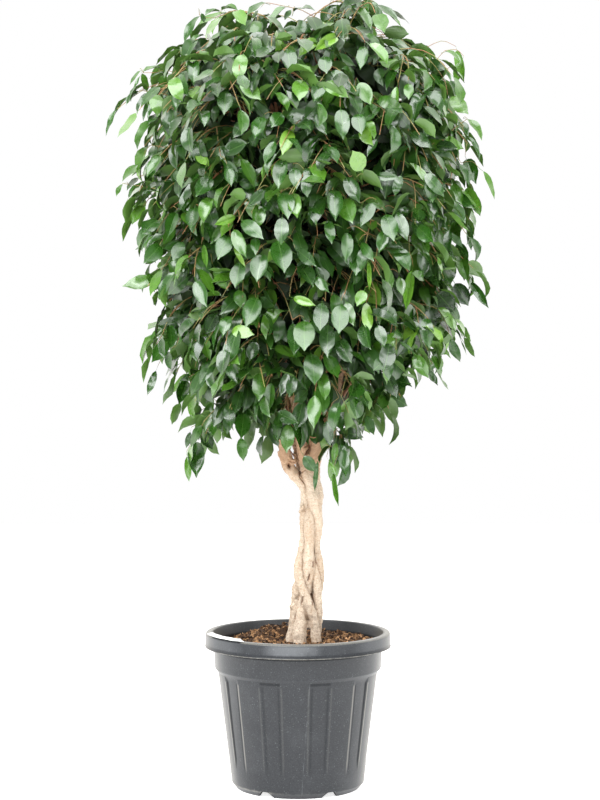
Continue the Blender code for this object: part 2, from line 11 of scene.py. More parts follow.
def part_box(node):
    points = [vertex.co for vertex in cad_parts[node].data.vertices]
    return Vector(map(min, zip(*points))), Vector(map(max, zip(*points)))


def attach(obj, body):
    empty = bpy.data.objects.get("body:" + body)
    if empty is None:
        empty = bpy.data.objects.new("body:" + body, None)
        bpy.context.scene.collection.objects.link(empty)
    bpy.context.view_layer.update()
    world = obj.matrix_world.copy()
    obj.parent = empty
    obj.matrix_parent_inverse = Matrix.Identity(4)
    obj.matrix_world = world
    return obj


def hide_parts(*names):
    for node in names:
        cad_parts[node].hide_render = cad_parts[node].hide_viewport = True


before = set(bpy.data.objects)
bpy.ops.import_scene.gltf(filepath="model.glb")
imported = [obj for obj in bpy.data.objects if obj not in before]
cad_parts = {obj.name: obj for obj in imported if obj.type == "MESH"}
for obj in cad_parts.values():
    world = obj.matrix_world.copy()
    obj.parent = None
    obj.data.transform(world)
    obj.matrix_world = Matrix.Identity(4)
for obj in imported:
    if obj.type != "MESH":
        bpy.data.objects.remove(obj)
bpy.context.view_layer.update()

print("frame loaded")


# Small helpers for working with operators.

def allOff():
    if bpy.context.mode != "OBJECT":
        bpy.ops.object.mode_set(mode="OBJECT")
    bpy.ops.object.select_all(action="DESELECT")


def workOn(*pieces):
    allOff()
    for piece in pieces:
        piece.select_set(True)
    bpy.context.view_layer.objects.active = pieces[0]


def named(name):
    made = bpy.context.object
    made.name = name
    made.data.name = name
    return made


def openMesh(piece, kind="VERT"):
    workOn(piece)
    bpy.ops.object.mode_set(mode="EDIT")
    bpy.ops.mesh.select_mode(type=kind)
    bpy.ops.mesh.select_all(action="DESELECT")


def pick(piece, kind, wanted):  # selects in edit mode what passes a test
    bpy.ops.mesh.select_mode(type=kind)
    bpy.ops.mesh.select_all(action="DESELECT")
    mesh = bmesh.from_edit_mesh(piece.data)
    parts = {"VERT": mesh.verts, "EDGE": mesh.edges, "FACE": mesh.faces}[kind]
    for part in parts:
        if wanted(part):
            part.select_set(True)
    bmesh.update_edit_mesh(piece.data)


def turnFacesOut(piece):
    openMesh(piece)
    bpy.ops.mesh.select_all(action="SELECT")
    bpy.ops.mesh.normals_make_consistent(inside=False)
    bpy.ops.object.mode_set(mode="OBJECT")


def modify(piece, kind, settings):  # adds a modifier and applies it
    workOn(piece)
    added = piece.modifiers.new(kind.lower(), kind)
    for key, value in settings.items():
        setattr(added, key, value)
    bpy.ops.object.modifier_apply(modifier=added.name)


def joined(name, pieces):
    workOn(*pieces)
    if len(pieces) > 1:
        bpy.ops.object.join()
    return named(name)


def smooth(piece, angle=35):
    workOn(piece)
    bpy.ops.object.shade_smooth_by_angle(angle=math.radians(angle))


def wear(piece, look):
    piece.data.materials.clear()
    piece.data.materials.append(look)


def settle(piece, node):  # hands a finished piece to the frame
    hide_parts(node)
    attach(piece, "root")


def lathe(name, rows, sides, capped):  # turns rows of (radius, height) round Z
    radius, height = rows[0]
    fill = "NGON" if capped else "NOTHING"
    allOff()
    bpy.ops.mesh.primitive_circle_add(vertices=sides, radius=radius, fill_type=fill, location=(0, 0, height))
    piece = named(name)
    bpy.ops.object.transform_apply(location=True, rotation=True, scale=True)
    bpy.ops.object.mode_set(mode="EDIT")
    bpy.ops.mesh.select_mode(type="FACE" if capped else "EDGE")
    bpy.ops.mesh.select_all(action="SELECT")
    for nextRadius, nextHeight in rows[1:]:
        rise = {"value": (0, 0, nextHeight - height)}
        bpy.ops.mesh.extrude_region_move(TRANSFORM_OT_translate=rise)
        grow = nextRadius / radius
        bpy.ops.transform.resize(value=(grow, grow, 1), center_override=(0, 0, 0))
        radius, height = nextRadius, nextHeight
    bpy.ops.object.mode_set(mode="OBJECT")
    return piece


def arc(radius, height, size, start, end, steps):  # rows on a quarter of a circle
    rows = []
    for step in range(steps + 1):
        turn = math.radians(start + (end - start) * step / steps)
        rows.append((radius + size * math.cos(turn), height + size * math.sin(turn)))
    return rows


def tubes(name, routes, resolution):  # one mesh of round bars along routes of (places, radii)
    curve = bpy.data.curves.new(name, "CURVE")
    curve.dimensions = "3D"
    curve.bevel_depth = 1.0
    curve.bevel_resolution = resolution
    curve.use_fill_caps = True
    for places, radii in routes:
        spline = curve.splines.new("POLY")
        spline.points.add(len(places) - 1)
        for spot, place, radius in zip(spline.points, places, radii):
            spot.co = (*place, 1.0)
            spot.radius = radius
    made = bpy.data.objects.new(name, curve)
    bpy.context.scene.collection.objects.link(made)
    workOn(made)
    bpy.ops.object.convert(target="MESH")
    made = named(name)
    openMesh(made)
    bpy.ops.mesh.select_all(action="SELECT")
    bpy.ops.mesh.remove_doubles(threshold=0.00002)
    bpy.ops.mesh.normals_make_consistent(inside=False)
    bpy.ops.object.mode_set(mode="OBJECT")
    return made


def addValues(piece, name, values, domain="POINT"):  # a number per corner point or face, for a look
    layer = piece.data.attributes.new(name, "FLOAT", domain)
    layer.data.foreach_set("value", np.asarray(values, np.float32))


def pointsOf(piece):
    flat = np.zeros(3 * len(piece.data.vertices), np.float32)
    piece.data.vertices.foreach_get("co", flat)
    return flat.reshape(-1, 3).astype(float)


def movePoints(piece, points):
    piece.data.vertices.foreach_set("co", points.astype(np.float32).ravel())
    piece.data.update()


# Shader maths as expressions.

class Shade:
    def __init__(self, tree, socket=None):
        self.tree = tree
        self.socket = socket

    def node(self, kind, settings, inputs, out=0):
        made = self.tree.nodes.new(kind)
        for key, value in settings.items():
            if key == "stops":
                self.setStops(made.color_ramp.elements, value)
            else:
                setattr(made, key, value)
        for key, value in inputs.items():
            if isinstance(value, Shade):
                self.tree.links.new(value.socket, made.inputs[key])
            else:
                made.inputs[key].default_value = value
        return Shade(self.tree, made.outputs[out])

    def setStops(self, elements, stops):
        while len(elements) < len(stops):
            elements.new(1.0)
        for element, (place, colour) in zip(elements, stops):
            element.position = place
            element.color = (*colour, 1.0)

    def maths(self, operation, first, second=0.0):
        return self.node("ShaderNodeMath", {"operation": operation}, {0: first, 1: second})

    def __add__(self, other):
        return self.maths("ADD", self, other)

    def __radd__(self, other):
        return self.maths("ADD", other, self)

    def __sub__(self, other):
        return self.maths("SUBTRACT", self, other)

    def __rsub__(self, other):
        return self.maths("SUBTRACT", other, self)

    def __mul__(self, other):
        return self.maths("MULTIPLY", self, other)

    def __rmul__(self, other):
        return self.maths("MULTIPLY", other, self)

    def __truediv__(self, other):
        return self.maths("DIVIDE", self, other)

    def __rtruediv__(self, other):
        return self.maths("DIVIDE", other, self)

    def __abs__(self):
        return self.maths("ABSOLUTE", self)

    def fade(self, low, high):  # 0 below low, 1 above high, soft between
        settings = {"interpolation_type": "SMOOTHSTEP"}
        return self.node("ShaderNodeMapRange", settings, {"Value": self, "From Min": low, "From Max": high})

    def mix(self, factor, first, second):
        settings = {"data_type": "RGBA"}
        ends = [value if isinstance(value, Shade) else (*value, 1.0) for value in (first, second)]
        return self.node("ShaderNodeMix", settings, {0: factor, 6: ends[0], 7: ends[1]}, 2)

    def ramp(self, stops):
        return self.node("ShaderNodeValToRGB", {"stops": stops}, {0: self})

    def objectPlace(self):
        return self.node("ShaderNodeTexCoord", {}, {}, 3)

    def stretched(self, scale):
        return self.node("ShaderNodeMapping", {}, {"Vector": self, "Scale": scale})

    def grain(self, scale, detail=3.0, roughness=0.5):
        inputs = {"Vector": self, "Scale": scale, "Detail": detail, "Roughness": roughness}
        return self.node("ShaderNodeTexNoise", {}, inputs)

    def cells(self, scale):
        return self.node("ShaderNodeTexVoronoi", {}, {"Vector": self, "Scale": scale})

    def part(self, index):
        return self.node("ShaderNodeSeparateXYZ", {}, {0: self}, index)

    def value(self, name):
        return self.node("ShaderNodeAttribute", {"attribute_name": name}, {}, 2)

    def bump(self, height, strength, distance):
        return self.node("ShaderNodeBump", {}, {"Height": height, "Strength": strength, "Distance": distance})


def newLook(name, steady):  # a material, its node maker and its shader
    look = bpy.data.materials.new(name)
    look.use_nodes = True
    shader = look.node_tree.nodes["Principled BSDF"]
    for key, value in steady.items():
        shader.inputs[key].default_value = value
    return look, Shade(look.node_tree), shader


def feed(shader, values):
    for key, value in values.items():
        value.tree.links.new(value.socket, shader.inputs[key])


def darken(look, shade, shader, mask, colour):  # a matt coat of one colour where the mask is 1, which paints shade
    inputs = {"Base Color": (*colour, 1.0), "Roughness": 1.0, "Specular IOR Level": 0.0}
    matt = shade.node("ShaderNodeBsdfPrincipled", {}, inputs)
    both = shade.node("ShaderNodeMixShader", {}, {0: mask, 1: Shade(shade.tree, shader.outputs[0]), 2: matt})
    look.node_tree.links.new(both.socket, look.node_tree.nodes["Material Output"].inputs["Surface"])


# Directions and routes, as the solids have them.

def heading(azimuth, elevation=0.0):
    turn = math.radians(azimuth)
    lift = math.radians(elevation)
    return Vector((math.cos(lift) * math.cos(turn), math.cos(lift) * math.sin(turn), math.sin(lift)))


def smoothRoute(places, steps):
    knots = [Vector(place) for place in places]
    knots = [knots[0] * 2 - knots[1]] + knots + [knots[-1] * 2 - knots[-2]]
    spans = len(knots) - 3
    route = []
    for step in range(steps + 1):
        along = spans * step / steps
        span = min(int(along), spans - 1)
        t = along - span
        a, b, c, d = knots[span:span + 4]
        route.append(b + ((c - a) * t + (a * 2 - b * 5 + c * 4 - d) * t ** 2
                          + (b * 3 - a - c * 3 + d) * t ** 3) * 0.5)
    return route


def alongRoute(route, share):  # a place on a route and the direction there
    reach = share * (len(route) - 1)
    index = min(int(reach), len(route) - 2)
    step = route[index + 1] - route[index]
    return route[index] + step * (reach - index), step.normalized()


def loft(rings):
    count = len(rings[0])
    points = [point for ring in rings for point in ring]
    faces = [tuple(range(count)), tuple(range(len(points) - count, len(points)))]
    for start in range(0, len(points) - count, count):
        for side in range(count):
            after = (side + 1) % count
            faces.append((start + side, start + after, start + count + after, start + count + side))
    return points, faces


def roundBar(route, radii, sides):
    rings = []
    upright = abs((route[1] - route[0]).normalized().z) >= 0.998
    up = Vector((1, 0, 0)) if upright else Vector((0, 0, 1))
    for index, (place, radius) in enumerate(zip(route, radii)):
        ahead = (route[min(index + 1, len(route) - 1)] - route[max(index - 1, 0)]).normalized()
        up = (up - ahead * up.dot(ahead)).normalized()
        across = ahead.cross(up)
        turns = [math.tau * side / sides for side in range(sides)]
        rings.append([place + (up * math.cos(turn) + across * math.sin(turn)) * radius for turn in turns])
    return loft(rings)


# The pot: turned, fluted, with soft edges and drain notches.

potPlan = {
    "tallFace": 0.1,
    "height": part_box("pot")[1].z, "rim": -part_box("pot")[0].y, "rimFlare": 0.0018, "rimWidth": 0.019,
    "rimDepth": 0.035, "rounding": 0.006, "wall": 0.003, "collarTop": 0.2045, "collarFoot": 0.2022,
    "collarLevel": 0.291, "collarStep": 0.0105, "bodyTop": 0.194, "bodyFoot": 0.160, "footLevel": 0.012,
    "footOut": 0.150, "footWidth": 0.008, "flutes": 10, "fluteTurn": -92, "panelHalf": 10,
    "channelDepth": 0.003, "groove": 0.0036, "channelMargin": 0.006, "channelStart": 0.055,
    "ledge": 0.006, "fadeOut": 0.018, "sides": 180, "edge": 0.0024, "drains": 6, "drainWidth": 0.043,
    # the dust colour also paints highlights on the rim
    "drainTop": 0.022, "drainHeight": 0.014, "grey": (0.0080, 0.0098, 0.0130), "dustAndHighlight": (0.160, 0.168, 0.178),
    # the scuff colour also paints highlights on the channel edges and the rim top; pale paints light on the
    # pot's flanks
    "scuffAndHighlight": (0.36, 0.345, 0.30), "pale": (0.20, 0.182, 0.145), "roughness": 0.25, "mouldLine": (3.1, 19.0),
    # the colour of the painted shade coat
    "paintedShadeColour": (0.004, 0.0045, 0.005),
}


def potLook(plan):
    look, shade, shader = newLook("pot_plastic", {"IOR": 1.43, "Metallic": 0.0})
    place = shade.objectPlace()
    height = place.part(2)
    turn = shade.node("ShaderNodeMath", {"operation": "ARCTAN2"}, {0: place.part(0), 1: 0 - place.part(1)})
    radial = shade.maths("POWER", place.part(0) * place.part(0) + place.part(1) * place.part(1), 0.5)
    speck = place.grain(330, 2.0).fade(0.62, 0.74)
    crumbs = place.grain(130, 3.0, 0.7).fade(0.69, 0.75)
    cloud = place.grain(11, 5.0, 0.62)
    brushed = place.stretched((1, 1, 3.0)).grain(70, 5.0, 0.7).fade(0.60, 0.78)
    low = 1 - height.fade(0.0, 0.09)
    lip = height.fade(0.3400, 0.3408) * (1 - height.fade(0.3424, 0.3436))
    heel = height.fade(0.0098, 0.0112) * (1 - height.fade(0.0140, 0.0160))
    heel = heel * (1 - 0.85 * turn.fade(-0.5, -0.2))
    worn = (0.60 * lip + 0.40 * heel) * place.grain(70, 5.0, 0.75).fade(0.26, 0.74)
    degrees = turn * 57.2958
    off = abs(degrees - plan["mouldLine"][0] - height * plan["mouldLine"][1])
    line = (1 - off.fade(0.05, 0.55)) * (1 - height.fade(0.266, 0.286))
    line = line * place.grain(40, 3.0).fade(0.36, 0.70)
    pitch = 360 / plan["flutes"]
    turned = degrees - plan["fluteTurn"] - 90 + pitch / 2
    beside = abs(shade.maths("FLOORED_MODULO", turned, pitch) - pitch / 2) - plan["panelHalf"]
    ridge = beside.fade(-1.4, -0.6) * (1 - beside.fade(-0.2, 0.6))
    groove = beside.fade(0.7, 1.3) * (1 - beside.fade(2.0, 3.6))
    sideways = abs(turn).fade(0.55, 0.85)
    wall = height.fade(0.045, 0.085) * (1 - height.fade(0.2645, 0.2705))
    ledge = height.fade(0.2720, 0.2740) * (1 - height.fade(0.2790, 0.2810)) * beside.fade(0.0, 1.0)
    rim = height.fade(0.3475, 0.3525)
    # a painted highlight on the front of the rim
    rimHighlight = rim * (1 - height.fade(0.368, 0.375)) * (1 - abs(turn + 0.06).fade(0.14, 0.36))
    # the pot's flanks as the front camera sees them, fading out before the back: made paler as painted light
    side = abs(turn).fade(1.02, 1.45) * (1 - abs(turn).fade(1.7, 2.1))
    fine = place.grain(380, 4.0, 0.75).fade(0.38, 0.68)
    # painted shadow on the collar just under the lip
    shadowUnderLip = height.fade(0.3325, 0.3375) * (1 - height.fade(0.345, 0.350)) * radial.fade(0.2022, 0.2032)
    shadowUnderLip = shadowUnderLip * (1 - radial.fade(0.2070, 0.2100))
    # the pot's inside above the collar, which gets painted shade
    within = height.fade(0.3380, 0.3420) * (1 - radial.fade(0.2022, 0.2032))
    papered = turn.fade(-1.20, -1.12) * (1 - turn.fade(-0.68, -0.62))
    # the rim's rounded top: made paler as a painted highlight, and darkened under the paper strip as its
    # painted shadow
    crown = height.fade(0.3712, 0.3742) * radial.fade(0.208, 0.214)
    shadowUnderLabel = crown * papered
    crown = crown * (1 - papered)
    # dust, specks and the mould line are the plastic's own; the rim made paler towards the sides and the
    # patch on its front are painted highlights
    dustAndHighlight = 0.09 * fine + 0.34 * speck + 0.07 * brushed + 0.06 * cloud.fade(0.48, 0.72) + 0.10 * low * brushed
    dustAndHighlight = dustAndHighlight + 0.30 * line + rim * (0.09 + 0.12 * brushed + 0.20 * sideways)
    dustAndHighlight = dustAndHighlight + rimHighlight * (0.12 + 0.30 * cloud.fade(0.36, 0.62))
    colour = shade.mix(dustAndHighlight, plan["grey"], plan["dustAndHighlight"])
    # painted light on the flanks
    colour = shade.mix(side * 0.36, colour, plan["pale"])
    # pale lines on the channel edges, far stronger on the flanks: painted highlight, with some wear
    colour = shade.mix(ridge * wall * (0.05 + 0.34 * sideways), colour, plan["scuffAndHighlight"])
    # real wear and crumbs, and the painted highlight on the rim top
    colour = shade.mix(worn + 0.30 * crumbs + crown * (0.22 + 0.25 * fine), colour, plan["scuffAndHighlight"])
    notch = (1 - height.fade(0.0108, 0.0114)) * (1 - radial.fade(0.1490, 0.1497))
    # painted shade: a matt near-black coat in the grooves, under the ledge and the lip, inside the pot, under
    # the paper strip and in the drain notches
    dark = groove * wall * (0.22 + 0.25 * sideways) + 0.40 * ledge * (1 - sideways)
    dark = dark + 0.85 * shadowUnderLip * (1 - 0.7 * side) + 0.42 * within + 0.75 * shadowUnderLabel + 0.95 * notch
    rough = plan["roughness"] + 0.14 * cloud + 0.2 * speck
    bump = shade.bump(place.grain(800, 2.0) * 0.6 + 0.8 * cloud + 0.5 * brushed + line, 0.4, 0.0005)
    feed(shader, {"Base Color": colour, "Roughness": rough, "Normal": bump})
    darken(look, shade, shader, dark, plan["paintedShadeColour"])
    return look


def potRows(plan):
    top, rim, wall, rounding = plan["height"], plan["rim"], plan["wall"], plan["rounding"]
    skirt = top - plan["rimDepth"]
    crest = rim - plan["rimFlare"]
    bodyHigh = plan["collarLevel"] - plan["collarStep"]
    taper = (plan["bodyTop"] - plan["bodyFoot"]) / (bodyHigh - plan["footLevel"])
    channelFoot = plan["bodyFoot"] + taper * (plan["channelStart"] - plan["footLevel"])
    footIn = plan["footOut"] - plan["footWidth"]
    rows = [(footIn, plan["footLevel"]), (footIn, 0)]
    rows += [(plan["footOut"], 0), (plan["footOut"] + 0.0078, plan["footLevel"] - 0.0022)]
    rows += [(plan["bodyFoot"] + 0.0006, plan["footLevel"] + 0.0006), (channelFoot, plan["channelStart"])]
    rows += [(plan["bodyTop"], bodyHigh), (plan["collarFoot"] - 0.0012, plan["collarLevel"] - 0.0024)]
    rows += [(plan["collarFoot"], plan["collarLevel"] + 0.0010)]
    rows += [(plan["collarTop"], skirt + rounding), (rim - wall, skirt + 0.0005)]
    rows += arc(rim - 0.0013, skirt + 0.0013, 0.0013, -90, 0, 6)
    rows += [(rim - 0.0003, skirt + 0.0026), (rim - 0.0011, skirt + 0.0038)]
    rows += arc(crest - rounding, top - rounding, rounding, 0, 90, 8)
    rows += arc(rim - plan["rimWidth"] + wall, top - wall, wall, 90, 180, 6)
    rows += [(plan["collarTop"] - wall, skirt + rounding), (plan["collarFoot"] - wall, plan["collarLevel"])]
    inner = wall + plan["channelDepth"]
    rows += [(plan["bodyTop"] - inner, bodyHigh), (plan["bodyFoot"] - inner, plan["footLevel"] + wall)]
    return rows


def shiftRing(piece, level, rise, grow):  # moves the corner points at one level along the wall
    pick(piece, "VERT", lambda vertex: abs(vertex.co.z - level) < 0.002)
    bpy.ops.transform.translate(value=(0, 0, rise))
    bpy.ops.transform.resize(value=(grow, grow, 1), center_override=(0, 0, 0))


def cutDrain(pot, plan, azimuth):
    allOff()
    size = (plan["drainWidth"], 2 * plan["drainWidth"] - plan["drainTop"], 2 * plan["drainHeight"])
    bpy.ops.mesh.primitive_cube_add(size=1, location=(0, 0, 0), scale=size)
    notch = named("notch")
    bpy.ops.object.transform_apply(location=True, rotation=True, scale=True)
    openMesh(notch)
    pick(notch, "VERT", lambda vertex: vertex.co.z > 0)
    bpy.ops.transform.resize(value=(1, plan["drainTop"] / size[1], 1), center_override=(0, 0, 0))
    bpy.ops.object.mode_set(mode="OBJECT")
    modify(notch, "BEVEL", {"width": 0.003, "segments": 3})
    notch.location = heading(azimuth) * (plan["footOut"] - plan["footWidth"] / 2)
    notch.rotation_euler = (0, 0, math.radians(azimuth))
    modify(pot, "BOOLEAN", {"operation": "DIFFERENCE", "solver": "EXACT", "object": notch})
    bpy.data.objects.remove(notch)


def buildPot(plan):
    pot = lathe("nursery_pot", potRows(plan), plan["sides"], True)
    turnFacesOut(pot)
    pitch = 360 / plan["flutes"]
    bodyHigh = plan["collarLevel"] - plan["collarStep"]

    def inChannel(face):
        place = face.calc_center_median()
        turn = (math.degrees(math.atan2(place.y, place.x)) - plan["fluteTurn"]) % pitch
        outer = face.normal.dot(Vector((place.x, place.y, 0))) > 0
        longest = max(edge.calc_length() for edge in face.edges)
        tall = plan["channelStart"] < place.z < bodyHigh and longest > plan["tallFace"]
        return outer and tall and plan["panelHalf"] < turn < pitch - plan["panelHalf"]

    openMesh(pot, "FACE")
    pick(pot, "FACE", inChannel)
    bpy.ops.mesh.inset(thickness=plan["channelMargin"], depth=-plan["groove"])
    shiftRing(pot, bodyHigh - plan["channelMargin"], -plan["ledge"], 0.997)
    shiftRing(pot, plan["channelStart"] + plan["channelMargin"], plan["fadeOut"], 1.024)
    bpy.ops.object.mode_set(mode="OBJECT")
    modify(pot, "BEVEL", {"width": plan["edge"], "segments": 2, "angle_limit": math.radians(21),
                          "harden_normals": False})
    for drain in range(plan["drains"]):
        cutDrain(pot, plan, -90 + (drain + 0.5) * 360 / plan["drains"])
    smooth(pot, 32)
    wear(pot, potLook(plan))
    settle(pot, "pot")
    print("pot", len(pot.data.polygons), "faces")


# The soil: a lumpy bed with loose coir chips and fibres on it.

soilPlan = {
    "level": 0.347, "heap": 0.028, "heapPlace": (-0.055, 0.080), "heapSpread": 0.06, "roughness": 0.003,
    "waves": (70, 85), "sink": 0.009, "mound": 0.029, "moundPlace": (-0.033, 0.030), "moundSpread": 0.011,
    "wallGap": 0.0003, "rings": 60, "sides": 180, "lump": 0.006, "seed": 8,
    "chips": 3900, "chipSize": (0.0021, 0.0052), "fibres": 120, "reach": 0.193,
    "dark": (0.012, 0.005, 0.0025), "mid": (0.115, 0.056, 0.024), "bright": (0.52, 0.29, 0.135),
}


def soilLook(plan):
    look, shade, shader = newLook("potting_soil", {"Metallic": 0.0, "Roughness": 0.9})
    place = shade.objectPlace()
    tone = shade.value("tone")
    mottle = place.grain(160, 4.0, 0.65)
    level = tone + (mottle - 0.5) * 0.7
    colour = level.ramp([(0.0, plan["dark"]), (0.45, plan["mid"]), (1.0, plan["bright"])])
    bump = shade.bump(place.grain(700, 3.0), 0.6, 0.0008)
    feed(shader, {"Base Color": colour, "Normal": bump})
    return look


def soilTop(plan, x, y):
    away = math.hypot(x - plan["heapPlace"][0], y - plan["heapPlace"][1])
    heap = plan["heap"] * math.exp(-((away / plan["heapSpread"]) ** 2))
    clods = math.sin(plan["waves"][0] * x + 1) * math.cos(plan["waves"][1] * y)
    beside = math.hypot(x - plan["moundPlace"][0], y - plan["moundPlace"][1])
    mound = plan["mound"] * math.exp(-((beside / plan["moundSpread"]) ** 2))
    sink = plan["sink"] * min(1.0, max(0.0, (-x - 0.11) / 0.06))
    return plan["level"] + heap + mound - sink + plan["roughness"] * clods


def lumpAt(plan, x, y):  # small hollows and rises between the chips
    coarse = noise.fractal(Vector((x * 55, y * 55, 3.1)), 1.0, 2.0, 3)
    fine = noise.noise(Vector((x * 170, y * 170, 7.7)))
    return plan["lump"] * (0.7 * coarse + 0.35 * fine)


def scatter(name, shapes, spots, look):  # one mesh of copies: each spot is (matrix, tone)
    points = []
    faces = []
    tones = []
    for index, (matrix, tone) in enumerate(spots):
        shape = shapes[index % len(shapes)]
        start = len(points)
        points += [matrix @ vertex.co for vertex in shape.data.vertices]
        faces += [tuple(start + corner for corner in face.vertices) for face in shape.data.polygons]
        tones += [tone] * len(shape.data.vertices)
    mesh = bpy.data.meshes.new(name)
    mesh.from_pydata(points, [], faces)
    made = bpy.data.objects.new(name, mesh)
    bpy.context.scene.collection.objects.link(made)
    addValues(made, "tone", tones)
    wear(made, look)
    return made


def coirChips(rng):  # a few crumbs, each a squashed and roughened ball
    shapes = []
    for index in range(4):
        allOff()
        bpy.ops.mesh.primitive_ico_sphere_add(subdivisions=1, radius=1.0)
        chip = named(f"chip{index}")
        openMesh(chip)
        bpy.ops.mesh.select_all(action="SELECT")
        bpy.ops.transform.resize(value=(1.7, 0.75, 0.55))
        bpy.ops.mesh.select_all(action="DESELECT")
        bpy.ops.object.mode_set(mode="OBJECT")
        for vertex in chip.data.vertices:
            vertex.co *= rng.uniform(0.65, 1.25)
        shapes.append(chip)
    return shapes


def buildSoil(plan, pot):
    rng = random.Random(plan["seed"])
    wall = pot["wall"] + plan["wallGap"]
    inner = wall + pot["channelDepth"]
    bodyHigh = pot["collarLevel"] - pot["collarStep"]
    edge = pot["height"] - pot["rimDepth"] + pot["rounding"]
    rows = [(pot["bodyFoot"] - inner, pot["footLevel"] + pot["wall"] + plan["wallGap"])]
    rows += [(pot["bodyTop"] - inner, bodyHigh), (pot["collarFoot"] - wall, pot["collarLevel"])]
    rows += [(pot["collarTop"] - wall, edge)]
    outer = rows[-1][0]
    for ring in range(1, plan["rings"]):
        rows.append((outer * (1 - ring / plan["rings"]), edge))
    bed = lathe("potting_mix", rows, plan["sides"], True)
    turnFacesOut(bed)
    tones = []
    for vertex in bed.data.vertices:
        tone = 0.16
        if vertex.co.z > edge - 0.001 and math.hypot(vertex.co.x, vertex.co.y) < outer - 0.001:
            lump = lumpAt(plan, vertex.co.x, vertex.co.y)
            vertex.co.z = soilTop(plan, vertex.co.x, vertex.co.y) + lump
            tone += 45 * lump
        tones.append(tone)
    addValues(bed, "tone", tones)
    look = soilLook(plan)
    wear(bed, look)
    spots = []
    for _ in range(plan["chips"]):
        away = plan["reach"] * math.sqrt(rng.random())
        turn = rng.uniform(0, 360)
        place = heading(turn) * away
        size = rng.uniform(*plan["chipSize"])
        ground = soilTop(plan, place.x, place.y) + lumpAt(plan, place.x, place.y)
        place.z = ground + size * rng.uniform(-0.1, 0.7)
        spin = Matrix.Rotation(rng.uniform(0, math.tau), 4, "Z") @ Matrix.Rotation(rng.gauss(0, 0.5), 4, "Y")
        spin = spin @ Matrix.Rotation(rng.uniform(0, math.tau), 4, "X")
        spots.append((Matrix.Translation(place) @ spin @ Matrix.Scale(size, 4), rng.random() ** 1.25))
    shapes = coirChips(rng)
    chips = scatter("chips", shapes, spots, look)
    for shape in shapes:
        bpy.data.objects.remove(shape)
    routes = []
    for _ in range(plan["fibres"]):
        place = heading(rng.uniform(0, 360)) * (plan["reach"] - 0.014) * math.sqrt(rng.random())
        place.z = soilTop(plan, place.x, place.y) + lumpAt(plan, place.x, place.y) + 0.002
        way = rng.uniform(0, 360)
        reach = rng.uniform(0.004, 0.009)
        route = [place - heading(way) * reach, place + Vector((0, 0, rng.uniform(0.001, 0.005))),
                 place + heading(way + rng.uniform(-50, 50)) * reach - Vector((0, 0, 0.002))]
        routes.append((smoothRoute(route, 6), [0.0004] * 7))
    fibres = tubes("fibres", routes, 0)
    addValues(fibres, "tone", [0.85] * len(fibres.data.vertices))
    wear(fibres, look)
    soil = joined("potting_mix", [bed, chips, fibres])
    smooth(soil, 50)
    settle(soil, "soil")
    print("soil", len(soil.data.polygons), "faces")


# The blank paper strip on the rim.

labelPlan = {
    "from": -125.0, "to": -167.0, "width": 0.014, "thick": 0.0006, "lift": 0.0009, "curl": 0.0030,
    "slant": 0.0045, "steps": 48, "skew": 6.0, "white": (0.93, 0.94, 0.92),
}


def buildLabel(plan, pot):
    look, shade, shader = newLook("label_paper", {"Metallic": 0.0, "Roughness": 0.55})
    place = shade.objectPlace()
    fibre = place.grain(900, 3.0)
    colour = shade.mix(0.12 * fibre, plan["white"], (0.70, 0.71, 0.68))
    feed(shader, {"Base Color": colour, "Normal": shade.bump(fibre, 0.15, 0.0002)})
    allOff()
    bpy.ops.mesh.primitive_grid_add(x_subdivisions=plan["steps"], y_subdivisions=6, size=1)
    strip = named("paper_strip")
    outer = pot["rim"] - pot["rounding"]
    for vertex in strip.data.vertices:
        along, across = vertex.co.x + 0.5, vertex.co.y + 0.5
        ends = max(0.0, abs(along - 0.5) - 0.42)
        reach = outer + plan["slant"] * along - plan["width"] * across
        turn = plan["from"] + (plan["to"] - plan["from"]) * along - plan["skew"] * across * (1 - along)
        spot = heading(turn) * reach
        ripple = 0.00025 * math.sin(19 * along + 2 * across) + 0.004 * ends * ends + plan["curl"] * across
        vertex.co = (spot.x, spot.y, pot["height"] + plan["lift"] + 0.0003 + ripple)
    modify(strip, "SOLIDIFY", {"thickness": plan["thick"], "offset": 1.0})
    turnFacesOut(strip)
    smooth(strip)
    wear(strip, look)
    settle(strip, "rim_label")
    print("label", len(strip.data.polygons), "faces")


# The woody plant: plaited stems that have grown together, limbs and branchlets.

